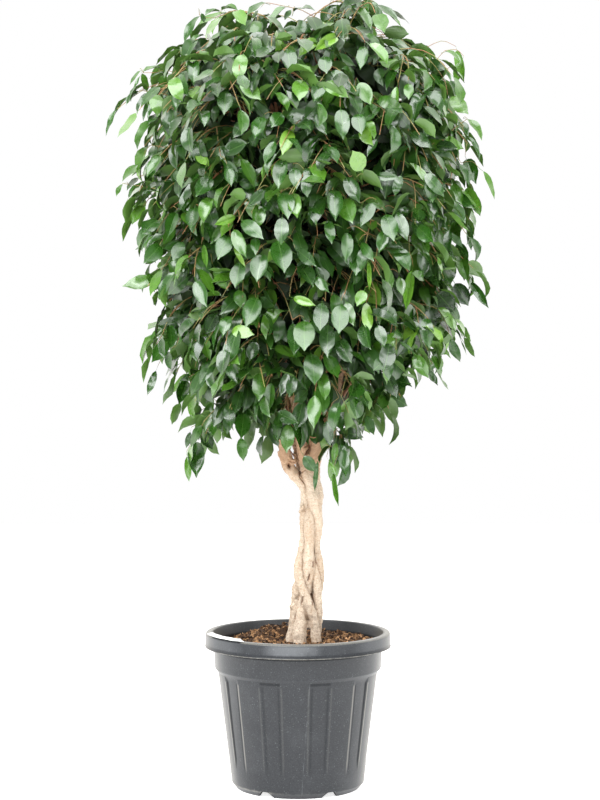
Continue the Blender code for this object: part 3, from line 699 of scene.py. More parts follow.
stemPlan = {
    "foot": 0.287, "neck": 0.636,
    "stems": (
        ((0.0120, 0.0130, 0.0165), (
            (0.003, 0.016, 0.287), (0.009, 0.018, 0.381), (0.025, 0.018, 0.425), (0.044, 0.011, 0.467),
            (0.051, 0.004, 0.502), (0.052, 0.005, 0.532), (0.050, 0.006, 0.561), (0.048, 0.000, 0.595),
            (0.049, -0.009, 0.630), (0.046, -0.014, 0.662), (0.038, -0.018, 0.699), (0.028, -0.018, 0.733),
            (0.022, -0.016, 0.759), (0.020, -0.006, 0.805))),
        ((0.0170, 0.0150, 0.0160), (
            (0.003, -0.016, 0.287), (0.003, -0.015, 0.357), (0.005, -0.012, 0.393), (0.010, -0.005, 0.431),
            (0.017, -0.001, 0.469), (0.024, -0.010, 0.509), (0.027, -0.015, 0.546), (0.028, -0.017, 0.585),
            (0.028, -0.015, 0.624), (0.032, -0.008, 0.659), (0.043, -0.001, 0.688), (0.046, 0.000, 0.715),
            (0.040, -0.002, 0.744), (0.040, -0.004, 0.773), (0.044, -0.003, 0.812))),
        ((0.0105, 0.0126, 0.0140), (
            (0.047, -0.010, 0.287), (0.043, -0.012, 0.363), (0.039, -0.016, 0.398), (0.030, -0.021, 0.433),
            (0.017, -0.023, 0.467), (0.005, -0.019, 0.500), (0.001, -0.013, 0.531), (0.006, -0.006, 0.567),
            (0.013, -0.001, 0.603), (0.016, 0.001, 0.646), (0.018, 0.002, 0.688), (0.009, -0.002, 0.720),
            (-0.008, -0.008, 0.750), (-0.026, -0.010, 0.783), (-0.037, -0.010, 0.817))),
        ((0.0100, 0.0112, 0.0130), (
            (0.046, 0.007, 0.287), (0.047, 0.006, 0.363), (0.049, 0.003, 0.403), (0.049, -0.004, 0.447),
            (0.047, -0.008, 0.487), (0.042, -0.005, 0.523), (0.034, 0.005, 0.554), (0.023, 0.014, 0.592),
            (0.017, 0.016, 0.633), (0.024, 0.015, 0.687), (0.039, 0.015, 0.738), (0.049, 0.012, 0.801))),
        ((0.0120, 0.0132, 0.0130), (
            (-0.019, -0.003, 0.287), (-0.016, -0.003, 0.355), (-0.011, -0.003, 0.391),
            (-0.007, -0.003, 0.428), (-0.004, -0.001, 0.459), (0.002, 0.004, 0.490),
            (0.016, 0.010, 0.521), (0.037, 0.013, 0.560),
            (0.048, 0.013, 0.609), (0.039, 0.011, 0.658), (0.022, 0.008, 0.707), (0.010, 0.013, 0.762),
            (0.000, 0.012, 0.811))),
    ),
    "core": ((0.027, 0.000, 0.586), (0.029, -0.001, 0.676), (0.022, -0.002, 0.856)), "coreRadius": 0.016,
    "knot": (-0.005, -0.001, 0.462), "knotWay": (-105, 8), "knotReach": 0.019, "knotRadius": 0.006,
    "lumps": (
        ((0.0250, -0.0070, 0.434), 0.0068), ((0.0255, -0.0085, 0.416), 0.0066),
        ((0.0262, -0.0090, 0.399), 0.0060), ((0.0262, -0.0080, 0.388), 0.0056),
        ((0.0095, -0.016, 0.678), 0.0062), ((0.0070, -0.012, 0.668), 0.0052),
        ((0.0045, -0.010, 0.580), 0.0058), ((0.0052, -0.010, 0.594), 0.0045),
        ((0.0490, -0.008, 0.571), 0.0060), ((0.0520, -0.004, 0.707), 0.0085),
        ((0.0500, -0.006, 0.630), 0.0055), ((-0.0060, -0.012, 0.535), 0.0060),
        ((0.0535, -0.002, 0.500), 0.0060), ((-0.0150, -0.012, 0.437), 0.0070),
        ((0.0470, -0.008, 0.745), 0.0080), ((0.0150, -0.020, 0.742), 0.0080),
        ((-0.0300, -0.012, 0.788), 0.0080), ((-0.0080, -0.018, 0.790), 0.0075),
        ((-0.0130, -0.016, 0.762), 0.0070),
    ),
    # the slits' darkness is painted shade
    "slits": (
        (((0.0075, 0.737), (-0.0010, 0.751), (0.0010, 0.757), (0.0070, 0.764), (0.0180, 0.769)),
         0.0016, 0.0030, 0.6),
        (((0.0260, 0.835), (0.0290, 0.822), (0.0230, 0.812), (0.0170, 0.800)), 0.0024, 0.0060, 1.0),
        (((0.0140, 0.838), (0.0190, 0.826)), 0.0020, 0.0040, 0.8),
        (((-0.0190, 0.790), (-0.0080, 0.786), (-0.0010, 0.793)), 0.0026, 0.0030, 0.6),
        (((0.0415, 0.548), (0.0395, 0.536)), 0.0019, 0.0050, 1.0),
        (((0.0280, 0.516), (0.0250, 0.502)), 0.0022, 0.0055, 1.0),
        (((0.0330, 0.466), (0.0375, 0.444)), 0.0015, 0.0040, 0.9),
        (((0.0118, 0.464), (0.0075, 0.442)), 0.0015, 0.0035, 0.85),
    ),
    "slitJitter": 0.0020, "creaseReach": 0.0017,
    # the hollows are pressed in and painted dark as shade
    "hollows": (((-0.0065, -0.0200, 0.4675), 0.0024, 0.005), ((-0.0215, -0.0240, 0.7800), 0.0055, 0.012)),
    "pulls": (((-0.006, 0.728), 0.030, 0.010), ((0.060, 0.785), 0.030, -0.006),
              ((-0.008, 0.592), 0.035, 0.006), ((0.062, 0.580), 0.040, -0.006)),
    "cadSides": 8, "cadSteps": 14, "steps": 110, "voxel": 0.0014, "keep": 0.42, "seed": 5,
    # low is a paler colour that paints light onto the lower trunk, where shade falls
    "pale": (0.64, 0.54, 0.425), "low": (0.84, 0.72, 0.58), "shade": (0.49, 0.335, 0.215),
    # crease paints shade into the creases, slits and hollows
    "crease": (0.17, 0.070, 0.027),
    # upper is the limbs' own darker bark, partly painted shade of the crown
    "upper": (0.38, 0.215, 0.115), "speck": (0.33, 0.18, 0.095),
}
limbPlan = {
    "fineSteps": 50, "overlap": (16, 14),
    "foot": 0.781, "tipRadius": 0.0035, "sides": 5, "steps": 5, "sway": 0.020, "taper": 0.8,
    "limbs": (
        ((0.041, -0.003), -10, 0.15, 1.616, 0.0185),
        ((-0.022, -0.010), 195, 0.15, 1.616, 0.0140),
        ((0.040, 0.013), 60, 0.13, 1.636, 0.0130),
        ((0.008, 0.012), 125, 0.14, 1.616, 0.0125),
        ((0.016, -0.008), 248, 0.13, 1.596, 0.0140),
        ((0.036, -0.008), 308, 0.13, 1.616, 0.0120),
        ((0.018, 0.002), 90, 0.02, 1.736, 0.0140),
    ),
}


def stemRadius(height, foot, neck, head):
    if height < stemPlan["neck"]:
        share = (height - stemPlan["foot"]) / (stemPlan["neck"] - stemPlan["foot"])
        return foot + (neck - foot) * share
    share = (height - stemPlan["neck"]) / (limbPlan["foot"] - stemPlan["neck"])
    return neck + (head - neck) * min(share, 1)


def limbRoutes(plan):
    limbs = []
    for foot, azimuth, spread, top, radius in plan["limbs"]:
        route = []
        radii = []
        for step in range(plan["steps"] + 1):
            t = step / plan["steps"]
            out = heading(azimuth) * spread * (1 - (1 - t) ** 2)
            height = plan["foot"] + (top - plan["foot"]) * t
            sideways = heading(azimuth + 90) * plan["sway"] * math.sin(math.tau * t + azimuth)
            route.append(Vector((foot[0] * (1 - t), foot[1] * (1 - t), height)) + out + sideways * t)
            radii.append(radius + (plan["tipRadius"] - radius) * t ** plan["taper"])
        limbs.append((route, radii))
    return limbs


def barkLook(plan):
    look, shade, shader = newLook("bark", {"Metallic": 0.0})
    place = shade.objectPlace()
    crease = shade.value("crease")
    wood = place.stretched((1, 1, 0.45)).grain(42, 5.0, 0.62)
    fine = place.grain(210, 5.0, 0.72)
    rings = place.stretched((1, 1, 2.8)).grain(150, 4.0, 0.68)
    fleck = place.grain(330, 3.0, 0.6).fade(0.50, 0.64)
    pores = (1 - place.cells(230).fade(0.10, 0.30)) * place.grain(50, 2.0).fade(0.46, 0.60)
    rough = crease.fade(0.04, 0.45)
    high = place.part(2).fade(0.730, 0.800)
    # the lower trunk made paler to offset the shade that falls on it: painted light
    colour = shade.mix(1 - place.part(2).fade(0.36, 0.52), plan["pale"], plan["low"])
    colour = shade.mix(wood.fade(0.42, 0.66) * 0.45, colour, plan["shade"])
    colour = shade.mix(fine.fade(0.48, 0.62) * 0.58, colour, plan["shade"])
    colour = shade.mix(rings.fade(0.54, 0.68) * 0.48, colour, plan["speck"])
    colour = shade.mix(fleck * (0.48 + 0.35 * rough), colour, plan["speck"])
    colour = shade.mix(0.50 * pores, colour, plan["speck"])
    # the upper trunk and limbs darker and more orange: their own colour, partly painted shade of the crown
    colour = shade.mix(high * 0.85, colour, plan["upper"])
    colour = shade.mix(high * rings.fade(0.44, 0.62) * 0.45, colour, plan["speck"])
    # painted shade in the creases, slits and hollows, near black in the deepest
    colour = shade.mix(crease * (0.62 + 0.6 * fine), colour, plan["crease"])
    colour = shade.mix(crease.fade(0.80, 1.0) * 0.8, colour, (0.030, 0.014, 0.007))
    height = 0.9 * wood + 1.3 * fine + 0.8 * rings - 0.5 * pores - 0.3 * fleck
    feed(shader, {"Base Color": colour, "Roughness": 0.62 + 0.2 * fine,
                  "Normal": shade.bump(height, 0.85, 0.0016)})
    return look


def twigLook(name, base, tip):
    look, shade, shader = newLook(name, {"Metallic": 0.0, "Roughness": 0.55})
    place = shade.objectPlace()
    colour = shade.mix(place.grain(30, 3.0).fade(0.35, 0.65), base, tip)
    colour = shade.mix(place.grain(400, 2.0).fade(0.6, 0.75) * 0.4, colour, (0.10, 0.055, 0.03))
    feed(shader, {"Base Color": colour, "Normal": shade.bump(place.grain(500, 2.0), 0.3, 0.0004)})
    return look


def nearestRoutes(points, routes):  # how far each point lies outside each route's skin, nearest first
    gaps = []
    for places, radii in routes:
        spots = np.array([list(place) for place in places])
        away = np.full(len(points), 1e9)
        for spot, radius in zip(spots, radii):
            away = np.minimum(away, np.linalg.norm(points - spot, axis=1) - radius)
        gaps.append(away)
    return np.sort(np.array(gaps), axis=0)


def slitDepths(points, normals, slits):  # how deep each dark slit cuts the front, and how dark it is painted as shade
    depth = np.zeros(len(points))
    dark = np.zeros(len(points))
    front = (normals[:, 1] < 0.1) & (points[:, 1] < 0.012)
    jitter = [[noise.noise(Vector((x * 160, shift, z * 160))) for shift in (0.0, 9.0)] for x, _, z in points]
    flat = points[:, [0, 2]] + np.array(jitter) * stemPlan["slitJitter"]
    for places, width, most, darkest in slits:
        away = np.full(len(points), 1e9)
        for start, end in zip(places, places[1:]):
            start, end = np.array(start), np.array(end)
            along = np.clip((flat - start) @ (end - start) / np.sum((end - start) ** 2), 0, 1)
            away = np.minimum(away, np.linalg.norm(flat - start - along[:, None] * (end - start), axis=1))
        cut = np.exp(-((away / width) ** 2)) * front
        depth = np.maximum(depth, most * cut)
        dark = np.maximum(dark, darkest * cut)
    return depth, dark


def relief(points):  # knobbly bark: broad swellings, lumps and fine wrinkles
    push = []
    for x, y, z in points:
        broad = noise.noise(Vector((x * 50, y * 50, z * 26)))
        lump = noise.fractal(Vector((x * 120, y * 120, z * 95)), 1.0, 2.0, 2)
        wrinkle = noise.fractal(Vector((x * 300, y * 300, z * 420)), 1.0, 2.0, 2)
        push.append(0.0014 * broad + 0.0016 * lump + 0.0006 * wrinkle)
    return np.array(push)


def woodRoutes(plan, limbs):  # the bars that the plait is fused from, its stems first
    rng = random.Random(plan["seed"])
    stems = []
    for thickness, places in plan["stems"]:
        route = smoothRoute(places, plan["steps"])
        phase = rng.uniform(0, math.tau)
        radii = []
        for step, place in enumerate(route):
            swell = 1 + 0.05 * math.sin(0.35 * step + phase) + 0.03 * math.sin(1.1 * step + 2 * phase)
            radii.append(stemRadius(place.z, *thickness) * swell)
        stems.append((route, radii))
    others = []
    for place, radius in plan["lumps"]:
        middle = Vector(place)
        steps = [-0.95, -0.6, 0, 0.6, 0.95]
        others.append(([middle + Vector((0, 0, radius * step)) for step in steps],
                       [radius * math.sqrt(1 - step * step) for step in steps]))
    others.append((smoothRoute(plan["core"], 20), [plan["coreRadius"]] * 21))
    foot = Vector(plan["knot"])
    way = heading(*plan["knotWay"])
    others.append(([foot + way * plan["knotReach"] * share for share in (0, 0.5, 0.85, 1.0)],
                   [plan["knotRadius"] * share for share in (1.25, 1.05, 1.0, 0.85)]))
    uppers = []
    for route, radii in limbs:
        steps = limbPlan["fineSteps"]
        fine = smoothRoute(route, steps)
        change = radii[-1] - radii[0]
        fineRadii = [radii[0] + change * (step / steps) ** limbPlan["taper"] for step in range(steps + 1)]
        lowEnd, highStart = limbPlan["overlap"]
        others.append((fine[:lowEnd], fineRadii[:lowEnd]))
        uppers.append((fine[highStart:], fineRadii[highStart:]))
    return stems, others, uppers


def buildTrunk(plan, limbs, arms):
    stems, others, uppers = woodRoutes(plan, limbs)
    base = tubes("base", stems + others, 6)
    modify(base, "REMESH", {"mode": "VOXEL", "voxel_size": plan["voxel"], "adaptivity": 0.0})
    modify(base, "SMOOTH", {"iterations": 3, "factor": 0.5})
    points = pointsOf(base)
    normals = np.zeros(3 * len(points), np.float32)
    base.data.vertex_normals.foreach_get("vector", normals)
    normals = normals.reshape(-1, 3)
    gaps = nearestRoutes(points, stems)
    crease = np.exp(-np.maximum(gaps[1] - gaps[0], 0) / plan["creaseReach"])
    crease *= np.interp(points[:, 2], (0.66, 0.71, 0.79, 0.80), (1.0, 0.35, 0.30, 0.0))
    depth, dark = slitDepths(points, normals, plan["slits"])
    push = relief(points) - 0.0022 * crease - depth
    patchy = [0.34 + 0.95 * noise.noise(Vector((x * 60, y * 60, z * 42))) for x, y, z in points]
    # painted shade: darker in the creases between the stems, in patches, as in the slits above and the
    # hollows below
    dark = np.maximum(dark, crease * np.clip(patchy, 0.06, 0.85))
    for place, radius, deep in plan["hollows"]:
        hollow = np.exp(-((np.linalg.norm(points - np.array(place), axis=1) / radius) ** 2))
        push = push - deep * hollow
        dark = np.maximum(dark, np.minimum(1, 1.5 * hollow))
    points = points + normals * push[:, None]
    for spot, radius, shift in plan["pulls"]:
        near = np.exp(-(np.linalg.norm(points[:, [0, 2]] - np.array(spot), axis=1) / radius) ** 2)
        points[:, 0] += shift * near
    movePoints(base, points)
    addValues(base, "crease", np.clip(dark, 0, 1))
    modify(base, "DECIMATE", {"ratio": plan["keep"]})
    print("plait", len(base.data.polygons), "faces")
    limbTubes = tubes("limbs", uppers, 3)
    addValues(limbTubes, "crease", [0.0] * len(limbTubes.data.vertices))
    bark = barkLook(plan)
    wear(base, bark)
    wear(limbTubes, bark)
    branchlets = tubes("branchlets", arms, 1)
    addValues(branchlets, "crease", [0.0] * len(branchlets.data.vertices))
    wear(branchlets, twigLook("branchlet", (0.33, 0.150, 0.075), (0.20, 0.095, 0.05)))
    trunk = joined("plaited_trunk", [base, limbTubes, branchlets])
    smooth(trunk, 60)
    settle(trunk, "trunk")
    print("trunk", len(trunk.data.polygons), "faces")


# Thin bare twigs between the limbs, over the fork.

forkPlan = {
    "seed": 14, "count": 44, "crossing": 26, "foot": ((-0.012, 0.062), (-0.018, 0.012), (0.80, 0.90)),
    "rise": ((-0.080, 0.100), (-0.060, 0.030), (0.09, 0.22)),
    "cross": ((-0.060, 0.060), (-0.030, 0.030), (-0.02, 0.06)),
    "bow": 0.022, "thick": 0.0019, "thin": 0.0008, "steps": 8,
    "sucker": ((0.050, -0.010, 0.845), (0.066, -0.016, 0.872), (0.102, -0.024, 0.935), (0.131, -0.034, 0.985),
               (0.158, -0.044, 1.036)), "suckerRadii": (0.0058, 0.0022),
}


def forkTwigs(plan):
    rng = random.Random(plan["seed"])
    twigs = []

    def within(ranges):
        return Vector([rng.uniform(*span) for span in ranges])

    def twig(start, end):
        middle = (start + end) / 2 + within(((-plan["bow"], plan["bow"]),) * 3)
        route = smoothRoute([start, middle, end], plan["steps"])
        step = (plan["thin"] - plan["thick"]) / plan["steps"]
        twigs.append((route, [plan["thick"] + step * index for index in range(plan["steps"] + 1)]))

    for _ in range(plan["count"]):
        start = within(plan["foot"])
        twig(start, start + within(plan["rise"]))
    for _ in range(plan["crossing"]):
        start = rng.choice(twigs[:plan["count"]])[0][plan["steps"] // 2]
        twig(start, start + within(plan["cross"]))
    route = smoothRoute(plan["sucker"], 2 * plan["steps"])
    thick, thin = plan["suckerRadii"]
    twigs.append((route, [thick + (thin - thick) * index / (len(route) - 1) for index in range(len(route))]))
    return twigs


# The crown, first the same sprays as the solids have, by the same rule and draws.

crownPlan = {
    "seed": 45, "gap": 0.0003,
    "rows": (
        (0.885, 0.20, 0.000, 0, -75, 0.17),
        (0.965, 0.29, 0.015, 10, -70, 0.22),
        (1.095, 0.35, 0.035, 15, -65, 0.25),
        (1.315, 0.39, 0.020, 25, -60, 0.27),
        (1.515, 0.41, 0.010, 30, -60, 0.28),
        (1.685, 0.39, 0.000, 40, -55, 0.27),
        (1.805, 0.33, 0.010, 55, -45, 0.25),
        (1.870, 0.19, 0.000, 70, -30, 0.21),
        (1.888, 0.04, 0.000, 85, 20, 0.16),
    ),
    "tilt": 0.07, "spread": 36, "goldenAngle": 137.508,
    "features": (
        (181, 1.702, 0.398, 0, 25, -25, 0.27),
        (-2, 1.226, 0.423, 0, 20, -50, 0.27),
        (165, 1.880, 0.218, 0, 60, -25, 0.24),
        (10, 1.874, 0.198, 0, 70, 0, 0.22),
        (184, 1.078, 0.350, 0, 10, -70, 0.24),
        (188, 0.863, 0.250, 0, 0, -70, 0.20),
        (-40, 0.808, 0.145, 0, -10, -80, 0.11),
        (-97, 0.897, 0.175, 0, 5, -75, 0.13),
    ),
    "tries": 12, "turn": 2, "lift": 0.006,
}
twigPlan = {
    "sides": 3, "steps": 4, "radius": 0.0026, "tipRadius": 0.0018, "sway": 30,
    "armRadius": 0.0045, "armSeat": 0.025, "armSlope": 0.4, "armDownhill": 3,
    "sideAt": 0.3, "sideLength": 0.55, "sideSteps": 2, "sideTurn": 42,
}
leafPlan = {
    "thick": 0.0008, "petiole": 0.014, "blade": (0.064, 0.082), "halfWidth": 0.27, "rootHalf": 0.0006,
    "petioleHalf": 0.0011, "stations": ((0.33, 1.0, 0.75), (0.70, 0.66, 0.93)), "petioleBend": 0.35,
    "rootDepth": 0.003, "clearance": 0.0015, "mainAt": (0.34, 0.56, 0.78, 1.0), "sideAt": (0.55, 1.0),
    "sideTurn": (35, 60), "sideScatter": 12, "sideRise": (0, 25), "twigRiseShare": 0.4, "endScatter": 14,
    "fall": -50, "fallPastTwig": 12, "fallScatter": 14, "leastBend": 15, "mostFall": -88, "lean": 18,
    "tries": 14, "looser": 0.25,
}


def twigRoute(start, azimuth, rise, fall, length, steps, sway=0.0):
    route = [start.copy()]
    for step in range(steps):
        share = (step + 0.5) / steps
        way = heading(azimuth + sway * share, rise + (fall - rise) * share)
        route.append(route[-1] + way * (length / steps))
    return route


def crownRow(share):
    rows = crownPlan["rows"]
    areas = [0.0]
    for low, high in zip(rows, rows[1:]):
        slant = math.hypot(high[0] - low[0], high[1] - low[1])
        areas.append(areas[-1] + slant * (low[1] + high[1]) / 2)
    wanted = share * areas[-1]
    for index in range(len(rows) - 1):
        if wanted <= areas[index + 1]:
            t = (wanted - areas[index]) / (areas[index + 1] - areas[index])
            return [low + (high - low) * t for low, high in zip(rows[index], rows[index + 1])]
    return list(rows[-1])


def sprayPlans():
    plans = [list(feature) for feature in crownPlan["features"]]
    for index in range(crownPlan["spread"]):
        row = crownRow((index + 0.5) / crownPlan["spread"])
        plans.append([index * crownPlan["goldenAngle"] % 360] + row)
    return plans


class Room:  # what has been placed so far, each with its owner's name
    def __init__(self):
        self.taken = []

    def add(self, owner, piece):
        self.taken.append((owner, BVHTree.FromPolygons(*piece)))

    def isFree(self, piece, butNot=None):
        tree = BVHTree.FromPolygons(*piece)
        return not any(owner != butNot and tree.overlap(other) for owner, other in self.taken)


def armRoute(seat, way, limbs):  # a branchlet from the nearest limb up to a spray's seat
    plan = twigPlan
    before = seat - way * plan["armSeat"]
    best = None
    for route, _ in limbs:
        for step in range(4 * limbPlan["steps"] + 1):
            foot, _ = alongRoute(route, step / (4 * limbPlan["steps"]))
            if (before - foot).dot(way) < plan["armRadius"]:
                continue
            level = math.hypot(seat.x - foot.x, seat.y - foot.y)
            downhill = max(0.0, foot.z + plan["armSlope"] * level - seat.z)
            cost = (seat - foot).length + plan["armDownhill"] * downhill
            if best is None or cost < best[0]:
                best = (cost, foot)
    return [best[1], before, seat] if best else None


def cadTwig(route, radius=None):
    thick = radius or twigPlan["radius"]
    radii = []
    for index in range(len(route)):
        radii.append(thick + (twigPlan["tipRadius"] - thick) * index / (len(route) - 1))
    return roundBar(route, radii, twigPlan["sides"])


def grownTwig(route):
    radius = twigPlan["radius"] + 2 * leafPlan["clearance"]
    return roundBar(route, [radius] * len(route), twigPlan["sides"])


def leafPlate(root, azimuth, tilt, rise, fall, blade, grow=0.0, bare=False):
    plan = leafPlan
    half = plan["halfWidth"] * blade
    stations = [(0.0, plan["rootHalf"], 0.0), (plan["petiole"], plan["petioleHalf"], plan["petioleBend"])]
    for along, width, bend in plan["stations"]:
        stations.append((plan["petiole"] + along * blade, width * half, bend))
    stations.append((plan["petiole"] + blade, 0.0, 1.0))
    across = Vector((0, 0, 1)).cross(heading(azimuth))
    lean = Matrix.Rotation(math.radians(tilt), 3, heading(azimuth))
    thick = plan["thick"] / 2 + grow
    points = []
    place = Vector((0, 0, 0))
    for index, (along, width, bend) in enumerate(stations):
        if index:
            middle = (bend + stations[index - 1][2]) / 2
            way = heading(azimuth, rise + (fall - rise) * middle)
            place = place + way * (along - stations[index - 1][0])
        face = heading(azimuth, rise + (fall - rise) * bend + 90)
        edges = ((-1, 1), (1, 1), (1, -1), (-1, -1)) if width else ((0, 1), (0, -1))
        for side, level in edges:
            points.append(root + lean @ (place + across * side * (width + grow) + face * level * thick))
    faces = []
    first = 1 if bare else 0
    for ring in range(first, len(stations) - 2):
        a = 4 * ring
        b = a + 4
        for side in range(4):
            after = (side + 1) % 4
            faces.append((a + side, a + after, b + after, b + side))
    a = 4 * (len(stations) - 2)
    tip = a + 4
    faces += [(a, a + 1, tip), (a + 2, a + 3, tip + 1)]
    faces += [(a + 1, a + 2, tip + 1, tip), (a + 3, a, tip, tip + 1)]
    faces.append(tuple(4 * first + side for side in range(4)))
    return points, faces


def leafPose(rng, place, way, side, midFall, loose):  # how a leaf leaves its twig
    plan = leafPlan
    azimuth = math.degrees(math.atan2(way.y, way.x))
    elevation = math.degrees(math.asin(max(-1.0, min(1.0, way.z))))
    if side:
        turn = side * rng.uniform(*plan["sideTurn"])
        azimuth = azimuth + turn + rng.uniform(-1, 1) * plan["sideScatter"] * loose
        rise = elevation * plan["twigRiseShare"] + rng.uniform(*plan["sideRise"])
        root = place
    else:
        azimuth = azimuth + rng.uniform(-1, 1) * plan["endScatter"] * loose
        rise = elevation
        root = place - way * plan["rootDepth"]
    fall = min(midFall + rng.uniform(-1, 1) * plan["fallScatter"] * loose, rise - plan["leastBend"])
    fall = max(fall, plan["mostFall"])
    tilt = rng.uniform(-1, 1) * plan["lean"] * loose
    blade = rng.uniform(*plan["blade"])
    return root, azimuth, tilt, rise, fall, blade


def placeLeaf(rng, room, name, route, share, side, midFall):
    place, way = alongRoute(route, share)
    for attempt in range(leafPlan["tries"]):
        pose = leafPose(rng, place, way, side, midFall, 1 + attempt * leafPlan["looser"])
        if not room.isFree(leafPlate(*pose, grow=leafPlan["clearance"]), butNot=name):
            continue
        if not room.isFree(leafPlate(*pose, grow=leafPlan["clearance"], bare=True)):
            continue
        return pose
    return None


def cadSprays(limbs):
    plan = crownPlan
    room = Room()
    stems = []
    for thickness, places in stemPlan["stems"]:
        route = smoothRoute(places, stemPlan["cadSteps"])
        radii = [stemRadius(place.z, *thickness) for place in route]
        stems.append(roundBar(route, radii, stemPlan["cadSides"]))
    core = [Vector(place) for place in stemPlan["core"]]
    stems.append(roundBar(core, [stemPlan["coreRadius"]] * len(core), limbPlan["sides"]))
    knotFoot = Vector(stemPlan["knot"])
    knot = [knotFoot, knotFoot + heading(*stemPlan["knotWay"]) * stemPlan["knotReach"]]
    stems.append(roundBar(knot, [stemPlan["knotRadius"]] * 2, limbPlan["sides"]))
    for route, radii in limbs:
        stems.append(roundBar(route, radii, limbPlan["sides"]))
    for piece in stems:
        room.add("trunk", piece)
    sprays = []
    for index, spray in enumerate(sprayPlans()):
        name = f"spray_{index + 1:02d}"
        rng = random.Random(plan["seed"] + index)
        for attempt in range(plan["tries"]):
            azimuth, endHeight, endRadius, offset, rise, fall, length = spray
            azimuth += rng.uniform(-1, 1) * plan["turn"] * attempt
            endHeight += rng.uniform(-1, 1) * plan["lift"] * attempt
            sway = rng.uniform(-1, 1) * twigPlan["sway"]
            trial = twigRoute(Vector((0, 0, 0)), azimuth, rise, fall, length, twigPlan["steps"], sway)
            end = heading(azimuth) * endRadius + Vector((offset, 0, endHeight))
            end.z += plan["tilt"] * end.x
            start = end - trial[-1]
            way = (trial[1] - trial[0]).normalized()
            seat = start - way * plan["gap"]
            route = [start + place for place in trial]
            sideStart, sideWay = alongRoute(route, twigPlan["sideAt"])
            turn = twigPlan["sideTurn"] * rng.choice((-1, 1))
            sideRise = math.degrees(math.asin(sideWay.z))
            sideRoute = twigRoute(sideStart, azimuth + turn, sideRise, fall,
                                  length * twigPlan["sideLength"], twigPlan["sideSteps"], turn / 3)
            arm = armRoute(seat, way, limbs)
            armBar = roundBar(arm, [twigPlan["armRadius"], twigPlan["radius"], twigPlan["radius"]],
                              twigPlan["sides"])
            clear = room.isFree(grownTwig(route)) and room.isFree(grownTwig(sideRoute))
            if clear and room.isFree(armBar, butNot="trunk"):
                break
        else:
            continue
        room.add("trunk", armBar)
        room.add(name, cadTwig(route))
        room.add(name, cadTwig(sideRoute, twigPlan["tipRadius"]))
        sprays.append({"name": name, "arm": arm, "main": route, "sides": [sideRoute], "fall": fall,
                       "azimuth": azimuth, "length": length, "leaves": [], "marks": [], "stalks": []})
    for index, spray in enumerate(sprays):
        rng = random.Random(plan["seed"] * len(sprays) + index)
        midFall = min(leafPlan["fall"], spray["fall"] - leafPlan["fallPastTwig"])
        spots = [(spray["sides"][0], share) for share in leafPlan["sideAt"]]
        spots += [(spray["main"], share) for share in leafPlan["mainAt"]]
        for count, (route, share) in enumerate(spots):
            side = 0 if share == 1.0 else (-1) ** count
            pose = placeLeaf(rng, room, spray["name"], route, share, side, midFall)
            if pose:
                room.add(spray["name"], leafPlate(*pose))
                spray["leaves"].append(pose)
    return sprays


# Leaves that stand out at the front: base x and z, tip x and z, width, tone and fall. The places
# are on the plane through the trunk as the camera sees them.

